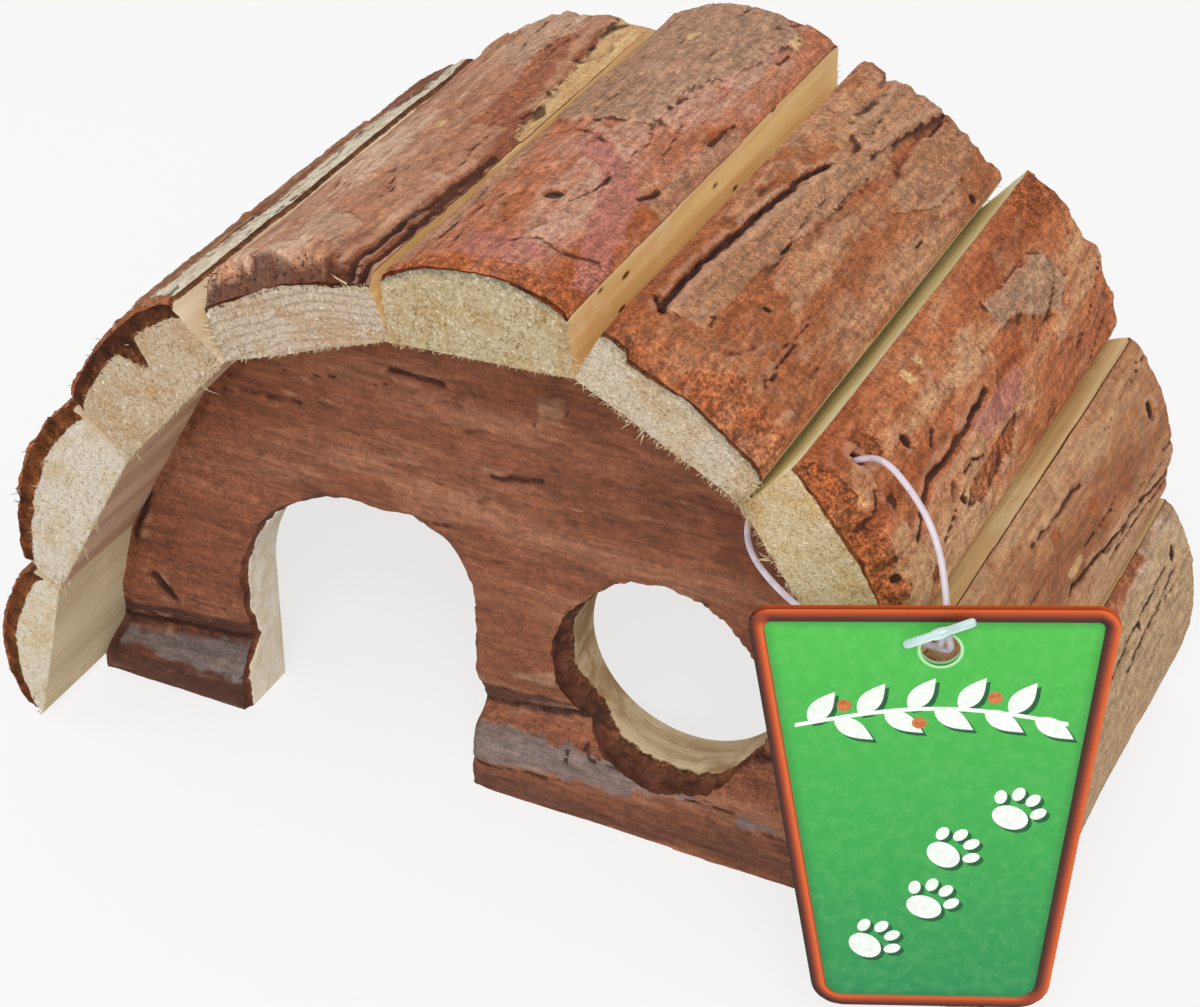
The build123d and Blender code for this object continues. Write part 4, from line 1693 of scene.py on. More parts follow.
@dataclass
class HangTag:
    """The printed card, its clear toggle bar and the nylon loop."""

    hole: Spot = (65.4, -47.8, 64.0)
    turn: float = 21.4
    lean: float = 3.3
    thickness: float = 0.8
    top_width: float = 41.9
    foot_width: float = 28.1
    top: float = 5.7
    foot: float = -54.5
    off_centre: float = 0.8
    hole_radius: float = 2.1
    bar_length: float = 8.6
    bar_radius: float = 0.55
    bar_rise: float = 26.0
    bar_place: Spot = (-0.35, 3.2, 1.65)
    filament: float = 0.8
    foot_corner: float = 4.2
    top_corner: float = 2.6
    trim: float = 0.14
    bar_sides: int = 24
    # From the bar's middle: share of half its length, and share of its radius
    bar_rows: tuple[Place, ...] = (
        (0.0, 1.3), (0.13, 1.2), (0.2, 1.0), (0.32, 0.97), (0.7, 1.0), (0.88, 0.98), (0.95, 0.86),
        (0.985, 0.62), (1.0, 0.3),
    )
    twig_height: float = -10.5
    twig_wave: float = 2.2
    prints: tuple[Place, ...] = ((-8.6, -44.5), (-1.6, -38.2), (0.6, -30.0), (8.2, -24.2))
    shadow: Place = (0.45, -0.5)
    gleam: Place = (0.78, 0.6)
    gleam_step: float = 0.08
    loop_length: float = 89.8
    # The loop's middle line, from the bar and back to it
    route: tuple[Spot, ...] = (
        (66.1, -49.3, 67.2), (65.4, -48.3, 64.7), (65.1, -46.4, 63.5), (64.5, -43.2, 64.0),
        (63.2, -40.8, 66.7), (61.6, -39.0, 70.2), (59.2, -37.1, 73.1), (56.1, -35.5, 75.4),
        (52.9, -33.9, 76.8), (50.0, -32.6, 76.1), (44.2, -32.5, 72.2), (38.5, -32.4, 68.2),
        (36.3, -34.0, 65.5), (36.9, -36.8, 63.6), (39.0, -39.3, 62.6), (41.6, -41.5, 62.3),
        (44.3, -43.6, 62.3), (47.4, -45.6, 62.3), (51.4, -47.1, 62.2), (55.9, -47.0, 62.0),
        (60.1, -45.7, 62.0), (64.1, -45.8, 62.4), (66.1, -46.9, 63.2), (66.7, -47.9, 64.8),
        (66.5, -49.1, 67.0),
    )

    def __post_init__(self) -> None:
        """Works out the card's directions."""
        turn, lean = math.radians(self.turn), math.radians(self.lean)
        self.level = np.array([math.cos(turn), math.sin(turn), 0])
        self.facing = np.array([math.sin(turn), -math.cos(turn), 0])
        self.upright = np.array([0.0, 0.0, 1.0])
        self.right = self.level * math.cos(lean) + self.upright * math.sin(lean)
        self.up = self.upright * math.cos(lean) - self.level * math.sin(lean)
        self.origin = np.array(self.hole)

    def loop(self, finish: Material, pieces: list[Thing]) -> Thing:
        """Makes the nylon loop.

        Args:
            finish: Its material.
            pieces: The bar and the card, which it carries. Not used.

        Returns:
            The curve.
        """
        curve = bpy.data.curves.new("nylon_loop", "CURVE")
        curve.dimensions = "3D"
        spline = curve.splines.new("NURBS")
        spline.points.add(len(self.route) - 1)
        for point, place in zip(spline.points, self.route):
            point.co = (*(value * MM for value in place), 1.0)
        spline.order_u = 3
        spline.use_endpoint_u = True
        curve.resolution_u = 10
        curve.bevel_depth = self.filament / 2 * MM
        curve.bevel_resolution = 5
        curve.use_fill_caps = True
        curve.materials.append(finish)
        made = bpy.data.objects.new("nylon_loop", curve)
        bpy.context.scene.collection.objects.link(made)
        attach(made, "house")
        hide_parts("tag_loop")
        log.info("%s: %d points", made.name, len(self.route))
        return made

    def bar(self, finish: Material) -> Thing:
        """Makes the toggle bar, with rounded ends and the collar that holds the line's two ends.

        Args:
            finish: Its material.

        Returns:
            The object.
        """
        rise = math.radians(self.bar_rise)
        along = self.level * math.cos(rise) + self.upright * math.sin(rise)
        side = np.cross(along, self.facing)
        middle = self.origin + self.bar_place[0] * self.level + self.bar_place[1] * self.upright
        middle = middle + self.bar_place[2] * self.facing
        half, radius = self.bar_length / 2, self.bar_radius
        marks = [(-share, wide) for share, wide in self.bar_rows[:0:-1]] + [*self.bar_rows]
        count = self.bar_sides
        turns = np.linspace(0, 2 * math.pi, count, endpoint=False)
        around = np.outer(np.cos(turns), self.facing * 0.94) + np.outer(np.sin(turns), side)
        shape = Shape.empty(())
        rows = [middle + share * half * along + wide * radius * around for share, wide in marks]
        rows = [middle - half * along, *rows, middle + half * along]
        points = np.concatenate([np.atleast_2d(row) for row in rows])
        rings = [1 + count * n + np.arange(count) for n in range(len(marks))]
        quads = [np.stack([a, np.roll(a, -1), np.roll(b, -1), b], -1) for a, b in zip(rings, rings[1:])]
        first = np.stack([np.full(count, 0), np.roll(rings[0], -1), rings[0]], -1)
        last = np.stack([np.full(count, len(points) - 1), rings[-1], np.roll(rings[-1], -1)], -1)
        shape.add(points, [(np.concatenate(quads), 0), (first, 0), (last, 0)])
        made = shape.build("toggle_bar", [finish], 60)
        made.data.flip_normals()
        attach(made, "house")
        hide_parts("tag_bar")
        log.info("%s: %d faces", made.name, len(made.data.polygons))
        return made

    def outline(self, inset: float) -> Array:
        """Draws the card's edge.

        Args:
            inset: How far it is moved in.

        Returns:
            The closed line.
        """
        slope = (self.top_width - self.foot_width) / 2 / (self.top - self.foot)
        lean = math.hypot(1, slope)
        top, foot = self.top - inset, self.foot + inset
        wide = self.top_width / 2 - inset * lean - slope * inset
        narrow = self.foot_width / 2 - inset * lean + slope * inset
        low, high = max(self.foot_corner - inset, 0.8), max(self.top_corner - inset, 0.5)
        corners = [
            (-self.off_centre - narrow, foot, low),
            (-self.off_centre + narrow, foot, low),
            (-self.off_centre + wide, top, high),
            (-self.off_centre - wide, top, high),
        ]
        return soft_loop(corners, 0.9)

    def twig_at(self, x: Array) -> Array:
        """Height of the twig's middle line at distances across the card."""
        return self.twig_height + self.twig_wave * np.sin((x + 15) / 9.5)

    def artwork(self) -> list[tuple[Ink, Array]]:
        """Draws generic motifs: a twig of leaves with berries, and paw prints that climb the card.

        Returns:
            Each outline with its ink, in the order that they are printed.
        """
        leaves, berries, prints = [], [], []
        for n, x in enumerate(np.linspace(-14.8, 10.6, 10)):
            y, up = self.twig_at(x), n % 2 == 0
            leaves.append(leaf((x, y), 5.4, 2.5, 56 if up else -34))
            if n % 3 == 1:
                berries.append(oval((x + 1.2, y + (-1.9 if up else 1.9)), 1.7, 1.7, 0, 14))
        x = np.linspace(-16.4, 14.4, 26)
        edges = [np.column_stack([x, self.twig_at(x) + off]) for off in (0.28, -0.28)]
        twig = np.concatenate([edges[0], edges[1][::-1]])
        for n, here in enumerate(self.prints):
            angle = 52 + (8 if n % 2 else -10)
            prints.append(oval(here, 3.4, 4.4, angle, 22))
            for reach, off in ((2.1, 2.5), (3.5, 0.95), (3.5, -0.95), (2.1, -2.5)):
                toe = spun(np.array([reach, off]), angle) + here
                prints.append(oval(toe, 2.1, 1.45, angle + off * 9, 14))
        found = [(Ink.SHADOW, outline + self.shadow) for outline in [*leaves, *prints]]
        found += [(Ink.WHITE, outline) for outline in [twig, *leaves, *prints]]
        return found + [(Ink.COPPER, outline) for outline in berries]

    def card(self, materials: list[Material]) -> Thing:
        """Makes the printed card.

        Args:
            materials: One for each ink, in their order.

        Returns:
            The object.
        """
        trim, half = self.trim, self.thickness / 2
        art = self.artwork()
        insets = (0.4, 0.75, 1.1, 1.45, 1.8, 1.9, 2.5, 3.2)
        hole = circle((0, 0), self.hole_radius, 0.5)
        loops = [self.outline(trim), circle((0, 0), self.hole_radius + trim, 0.5)]
        lines = [self.outline(inset) for inset in insets]
        lines += [circle((0, 0), self.hole_radius + 0.5, 0.6)[::-1]]
        flat, triangles, numbers = fill(loops, [*lines, *[line for _, line in art]], 1.5, 5)
        middle = flat[triangles].mean(1)
        ink = np.zeros(len(triangles), int)
        for kind, outline in art:
            inside = inside_distance(*middle.T, outline) > 0
            ink[inside] = kind.value
        plain, plain_faces, plain_numbers = fill(loops, lines, 2.0, 6)
        shape = Shape.empty(("rise", "edge", "hole", "lit"))

        def add(points: Array, out: float, faces: list[tuple[Array, int]]) -> None:
            """Adds points of the card.

            Args:
                points: Places on the card.
                out: Their height over its middle plane.
                faces: Faces on them, with their material numbers.
            """
            placed = self.origin + np.outer(points[:, 0], self.right) + np.outer(points[:, 1], self.up)
            rim = self.outline(0.0)
            edge = inside_distance(*points.T, rim)
            beyond = inside_distance(*(points + self.gleam_step * np.array(self.gleam)).T, rim)
            values = {
                "rise": (points[:, 1] - self.foot) / (self.top - self.foot),
                "edge": np.maximum(edge, 0),
                "hole": np.hypot(*points.T) - self.hole_radius,
                "lit": (edge - beyond) / self.gleam_step,
            }
            shape.add(placed + out * self.facing, faces, **values)

        groups = [(triangles[ink == kind.value], kind.value) for kind in Ink]
        add(flat, half, groups)
        rings = [[numbers[0]], [numbers[1]]]
        for out in (half - trim, trim - half):
            for n, loop in enumerate((self.outline(0.0), hole)):
                rings[n].append(np.arange(len(loop)) + shape.count)
                add(loop, out, [])
        for n in (0, 1):
            rings[n].append(plain_numbers[n] + shape.count)
        add(plain, -half, [(plain_faces[:, ::-1], Ink.CARD.value)])
        for joined in rings:
            if len({len(ring) for ring in joined}) == 1:
                shape.faces.append(wall(joined, False))
                shape.slots.append(np.full(len(shape.faces[-1]), Ink.CORE.value))
        made = shape.build("printed_card", materials, 35)
        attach(made, "tag")
        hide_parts("hang_tag")
        log.info("%s: %d faces", made.name, len(made.data.polygons))
        return made


@dataclass(frozen=True)
class Studio:
    """Camera, soft lights and a pale floor."""

    eye: Spot = (0.14127, -0.28744, 0.25255)
    azimuth: float = 26.24
    elevation: float = 34.24
    lens: float = 84.0
    floor_reach: float = 3.0
    floor_glow: float = 0.74
    around: float = 0.6

    def camera(self) -> None:
        """Adds the camera, makes it the scene's, and shows colours as they are written."""
        bpy.context.scene.view_settings.view_transform = "Standard"
        camera = bpy.data.cameras.new("camera")
        camera.lens = self.lens
        camera.sensor_width = 36.0
        made = bpy.data.objects.new("camera", camera)
        made.location = self.eye
        turn, dip = math.radians(self.azimuth), math.radians(self.elevation)
        level = math.cos(dip)
        ahead = Vector((-math.sin(turn) * level, math.cos(turn) * level, -math.sin(dip)))
        made.rotation_euler = ahead.to_track_quat("-Z", "Y").to_euler()
        camera.clip_start = 0.01
        bpy.context.scene.collection.objects.link(made)
        bpy.context.scene.camera = made

    def lamp(self, name: str, place: Spot, power: float, size: float) -> None:
        """Adds a square lamp that faces the house.

        Args:
            name: Its name.
            place: Where it stands.
            power: Its power in watts.
            size: Its side in metres.
        """
        lamp = bpy.data.lights.new(name, "AREA")
        lamp.energy = power
        lamp.size = size
        made = bpy.data.objects.new(name, lamp)
        made.location = place
        aim = Vector((0, 0, 0.04)) - Vector(place)
        made.rotation_euler = aim.to_track_quat("-Z", "Y").to_euler()
        bpy.context.scene.collection.objects.link(made)

    def seen(self, graph: Graph) -> Socket:
        """Marks the rays that see the background, straight, mirrored or through glass.

        Args:
            graph: The graph that gets the mask.

        Returns:
            The mask.
        """
        rays = graph.add("ShaderNodeLightPath")
        both = graph.math("MAXIMUM", rays.outputs["Is Camera Ray"], rays.outputs["Is Glossy Ray"])
        return graph.math("MAXIMUM", both, rays.outputs["Is Transmission Ray"])

    def world(self) -> None:
        """Lights the scene evenly from all round."""
        world = bpy.data.worlds.new("world")
        world.use_nodes = True
        graph = Graph(world.node_tree)
        back = world.node_tree.nodes["Background"]
        graph.feed(back.inputs["Color"], (1.0, 1.0, 1.0, 1.0))
        strength = graph.times(self.seen(graph), 1.0 - self.around)
        graph.feed(back.inputs["Strength"], graph.plus(strength, self.around))
        bpy.context.scene.world = world

    def floor(self) -> None:
        """Adds the floor, white to the camera apart from the house's shadow."""
        mesh = bpy.data.meshes.new("floor")
        far = self.floor_reach
        corners = [(-far, -far, 0), (far, -far, 0), (far, far, 0), (-far, far, 0)]
        mesh.from_pydata(corners, [], [(0, 1, 2, 3)])
        made = bpy.data.objects.new("floor", mesh)
        bpy.context.scene.collection.objects.link(made)
        material = bpy.data.materials.new("floor")
        material.use_nodes = True
        graph, shader = Graph(material.node_tree), material.node_tree.nodes["Principled BSDF"]
        out = shader.outputs["BSDF"].links[0].to_socket
        shader.inputs["Base Color"].default_value = (0.88, 0.88, 0.87, 1)
        shader.inputs["Roughness"].default_value = 0.9
        shader.inputs["Specular IOR Level"].default_value = 0.0
        glow = graph.add("ShaderNodeEmission")
        glow.inputs["Color"].default_value = (1, 1, 1, 1)
        mix = graph.add("ShaderNodeMixShader")
        graph.feed(mix.inputs["Fac"], graph.times(self.seen(graph), self.floor_glow))
        graph.feed(mix.inputs[1], shader.outputs["BSDF"])
        graph.feed(mix.inputs[2], glow.outputs["Emission"])
        graph.feed(out, mix.outputs["Shader"])
        mesh.materials.append(material)


ROSE, PALE, ASHEN, RUST = Tint

# Places on a slab are across it from its left and along it from its front
SLAT_MARKS: dict[int, tuple[Mark, ...]] = {
    3: (
        Patch(PALE, ((21.4, 2), (30, 2), (30, 86), (21.8, 86)), 1.0, -0.4, 0.3, 0.3),
    ),
    4: (
        Patch(
            PALE, ((25.2, 40), (24.2, 44.7), (23.4, 58), (22, 70), (21.3, 82), (28, 82), (28, 40)), 0.9,
            -0.35,
        ),
        Patch(ASHEN, ((12.5, 6), (19, 5), (20, 11), (16, 14), (12, 12)), 0.8, 0.25),
        Patch(RUST, ((18.5, 41), (24, 42), (22, 58), (19.5, 71), (15.5, 70), (17.5, 55)), 0.8),
        Patch(ASHEN, ((11, 62), (16, 60), (18.5, 73), (14, 82), (9, 76)), 0.7, 0.2),
        Patch(PALE, ((14.4, 38.6), (16, 39), (15.8, 41.2), (14.4, 41)), 0.7),
        Crack(((23.3, 1), (24.0, 14), (24.6, 26), (25.4, 34)), 0.45, 0.9),
        Crack(((24.8, 0), (25.3, 12), (25.6, 30)), 0.5, 1.0),
    ),
    5: (
        Patch(
            ROSE,
            (
                (9, 38), (8.5, 34), (14, 30), (17.5, 23), (20.5, 12), (23, 4), (25, 6), (23.5, 18),
                (21, 27), (16, 33), (12, 38),
            ),
            0.9,
        ),
        Patch(ROSE, ((7.5, 4), (17, 3.6), (18.5, 8), (14, 10.5), (8, 9.5)), 0.75),
        Patch(
            ASHEN,
            (
                (-1, 46), (5, 41), (10, 43), (15.1, 42.8), (15.5, 50), (16.4, 55), (18.5, 60),
                (19.8, 69.9), (22, 75), (16, 83), (-1, 83),
            ),
            0.95, 0.45,
        ),
        Patch(ASHEN, ((-1, 2), (3, 1.5), (4, 20), (3.5, 40), (-1, 44)), 0.6),
        Patch(RUST, ((3, -1), (26, -1), (26, 20), (22.5, 10), (20, 4.5), (10, 3.2), (3, 2.5)), 0.65),
        Patch(ASHEN, ((22.5, 25), (26, 25), (26, 50), (23, 50)), 0.6),
        Patch(PALE, ((20.6, 73), (22.2, 73.5), (22, 77), (20.8, 76.5)), 0.8),
        Patch(PALE, ((8.8, 65), (10.2, 66), (10, 69), (8.9, 68.5)), 0.7),
        Crack(((2, 38), (7, 39), (12, 36.5)), 0.35, 0.5),
        Crack(((13, 9), (16, 10.5), (19, 9.6), (23.4, 11.6)), 0.3, 0.5),
        Crack(((21.4, 26.5), (22.3, 29.8)), 0.6, 0.6),
        Pit((12.4, 21.5), 1.3, 1.1),
    ),
    6: (
        Patch(
            ASHEN,
            ((3.6, 7), (8.4, 7.8), (10.1, 33.8), (11.6, 50), (9.5, 60), (7, 51), (5.2, 40), (3.6, 20)),
            0.8, 0.3,
        ),
        Patch(ASHEN, ((5, 60), (9, 58), (12, 70), (13, 79), (9, 81.3), (4, 80), (6, 72)), 0.9, 0.5),
        Patch(ASHEN, ((17, 51), (20.4, 58.5), (20, 78), (15, 80), (13, 66), (14.5, 54)), 0.7, 0.25),
        Patch(ASHEN, ((18, 25), (22, 24), (22.5, 31), (18.5, 32)), 0.6),
        Patch(RUST, ((10, 0), (24, 0), (24, 4), (16, 5), (10, 3)), 0.7),
        Crack(((3.3, 7.1), (3.1, 18.6), (4.3, 33.7), (5.0, 44.8), (6.4, 50.4)), 0.42, 1.0),
        Crack(((1.7, 9.2), (3.8, 7.0)), 0.4, 0.8),
        Pit((12.8, 18.2), 0.45, 0.7),
        Pit((23.2, 67), 0.7, 0.5),
    ),
    7: (
        Patch(RUST, ((15, 42), (18, 38), (19, 28), (17.5, 22), (15.5, 26), (15, 34)), 0.95, -0.4),
        Patch(
            ASHEN, ((2.5, 48), (6.1, 47.4), (7, 53), (11.3, 62.6), (8, 68), (3.8, 66), (3, 56)), 0.95,
            0.35,
        ),
        Patch(ROSE, ((10.5, 30), (14, 32), (14.5, 44), (11, 47), (10, 38)), 0.8),
        Patch(RUST, ((-3, 70), (2, 70), (3, 82), (-3, 82)), 0.8),
        Patch(
            RUST, ((-0.5, 9), (1.4, 9.4), (3.4, 9.8), (3.8, 12), (2, 13.2), (-0.5, 12.4)), 1.0, -0.35,
            0.5, 0.8,
        ),
        Patch(RUST, ((7, 6), (8.8, 6.4), (8.8, 8.2), (7.2, 8.4)), 0.9, -0.3, 0.4, 0.6),
        Patch(RUST, ((-2, -2), (19, -2), (17, 3.0), (8, 2.4), (2, 3.2), (-2, 3)), 0.85, -0.1, 0.8, 1.0),
        Patch(RUST, ((18.6, 9), (20.6, 9.4), (20.4, 12), (18.8, 12)), 0.9, -0.25, 0.4, 0.6),
        Patch(PALE, ((-0.4, 25.2), (1.2, 25.2), (1.2, 26.6), (-0.4, 26.6)), 0.9),
        Patch(PALE, ((-0.4, 29.4), (1.2, 29.4), (1.2, 30.8), (-0.4, 30.8)), 0.9),
        Crack(
            ((9.2, 36.8), (10.6, 24.2), (10.2, 16.3), (12.1, 12.4), (13.0, 10.4), (13.8, 8.2)), 0.5, 0.9
        ),
        Crack(((6.6, 22.6), (7.8, 20.4)), 0.4, 0.7),
        Crack(((5.4, 5.8), (6.6, 3.8), (7.6, 1.8)), 0.3, 0.6),
        Crack(((15.0, 30.5), (13.6, 27.0), (13.9, 24.0)), 0.25, 0.5),
        Pit((4.9, 17.0), 0.9, 0.9),
        Pit((1.9, 8.2), 0.95, 3.0),
        Pit((16.3, 22.0), 0.6, 0.5),
        Pit((15.1, 2.4), 0.5, 0.6),
    ),
    8: (
        Patch(RUST, ((7.5, 47), (10, 47), (10, 50), (7.5, 50)), 0.8),
        Patch(RUST, ((5.3, 35.5), (7.3, 35.5), (7.3, 38.5), (5.3, 38.5)), 0.8),
        Patch(RUST, ((11, 49), (13, 49), (13, 51.5), (11, 51.5)), 0.7),
        Patch(PALE, ((11.8, 37), (12.9, 37), (12.9, 42), (11.8, 42)), 0.6),
        Crack(((20.4, 79.6), (17.5, 60.9), (15, 46.4), (14, 36)), 0.35, 0.7),
        Crack(((22, 81), (19.8, 66), (17.6, 50)), 0.35, 0.6),
        Pit((8.7, 74.7), 1.3, 1.1),
    ),
    9: (
        Patch(RUST, ((-1, 0), (7, 0), (4, 25), (2.5, 45), (1.5, 66), (-1, 66)), 0.8),
        Patch(RUST, ((9, 65.5), (10.6, 65.5), (10.6, 69), (9, 69)), 0.7),
        Patch(PALE, ((1.5, 82), (2.5, 60), (4, 40), (7, 20), (10, 0), (29, 0), (29, 83)), 0.85),
        Crack(((5.5, 70.8), (6, 58.7), (7, 45)), 0.3, 0.5),
        Crack(((7.5, 74), (8.5, 60), (9.5, 50)), 0.3, 0.5),
        Pit((5.5, 74.4), 1.3, 1.1),
        Pit((7, 57.7), 0.6, 0.4),
    ),
}

# Places on the board are up along it and across from its left
BOARD_MARKS: tuple[Mark, ...] = (
    Patch(
        PALE,
        (
            (5.3, 61), (11.3, 61), (10.6, 70), (9.8, 78), (8.8, 83), (7.6, 92), (7.4, 99), (6.5, 99),
            (6.2, 92), (4.4, 84), (4.8, 76),
        ),
        0.95, 0.1, 1.2, 0.9,
    ),
    Patch(PALE, ((4.5, 102), (6, 102.5), (6.1, 108), (4.6, 108)), 0.9, 0.0, 0.5),
    Patch(PALE, ((10, 3), (12, 4), (11.9, 16), (12.4, 26), (7.8, 26), (9.2, 16)), 0.85, 0.0, 1.1, 1.2),
    Patch(PALE, ((2, 20), (3.4, 20), (3.4, 24), (2, 24)), 0.5, 0.0, 0.8, 1.0),
    Patch(
        RUST, ((10.4, 60), (13, 60), (13, 140), (7.6, 140), (8.8, 92), (10.2, 80)), 0.75, 0.0, 0.8, 1.0
    ),
    # Painted shade in the groove across the board
    Patch(
        ASHEN, ((12.6, -2), (16.8, -2), (16.8, 66), (14.6, 80), (14.6, 140), (12.9, 140), (12.6, 66)),
        0.85, 0.0, 0.9, 1.0,
    ),
    Patch(ROSE, ((20.4, 68), (21.8, 75.2), (18.2, 74.8)), 0.8, 0.15, 0.3),
    Patch(ROSE, ((60, 72), (64, 72), (64, 76), (60, 76)), 0.6, 0.1, 0.8),
    Patch(RUST, ((18, -2), (62, -2), (62, 26), (40, 32), (18, 28)), 0.4, 0.0, 3.0, 4.0),
    # Painted shade on the lower part of the left leg
    Patch(ASHEN, ((-3, -6), (13.2, -6), (13.2, 27), (-3, 27)), 0.7, 0.0, 1.5, 3.0),
    Patch(ASHEN, ((-3, 58), (4.6, 58), (4.6, 140), (-3, 140)), 0.55, 0.0, 1.5, 3.0),
    Crack(((13.3, -2), (13.0, 40), (13.3, 90), (13.1, 140)), 0.4, 0.6),
    Crack(((22.6, 10.0), (19.2, 13.0)), 0.75, 0.9),
    Crack(((36.5, 10.0), (29.5, 7.4)), 0.8, 0.8),
    Crack(((64.7, 50.6), (63.9, 58.6)), 0.35, 0.8),
    Crack(((51.4, 65.5), (51.2, 72.8)), 0.3, 0.7),
    Crack(((68, 81.4), (65.2, 92.4)), 0.35, 0.8),
    Crack(((10.3, 76.6), (8.6, 77.2), (6.9, 76.8)), 0.22, 0.6),
    Crack(((10.2, 79.4), (8.9, 80.0), (8.0, 81.6)), 0.25, 0.6),
    Crack(((8.4, 83), (8.0, 86), (7.9, 90), (6.6, 96), (6.5, 102)), 0.22, 0.6),
    Crack(((4.9, 61), (4.2, 70), (3.9, 76)), 0.2, 0.5),
)


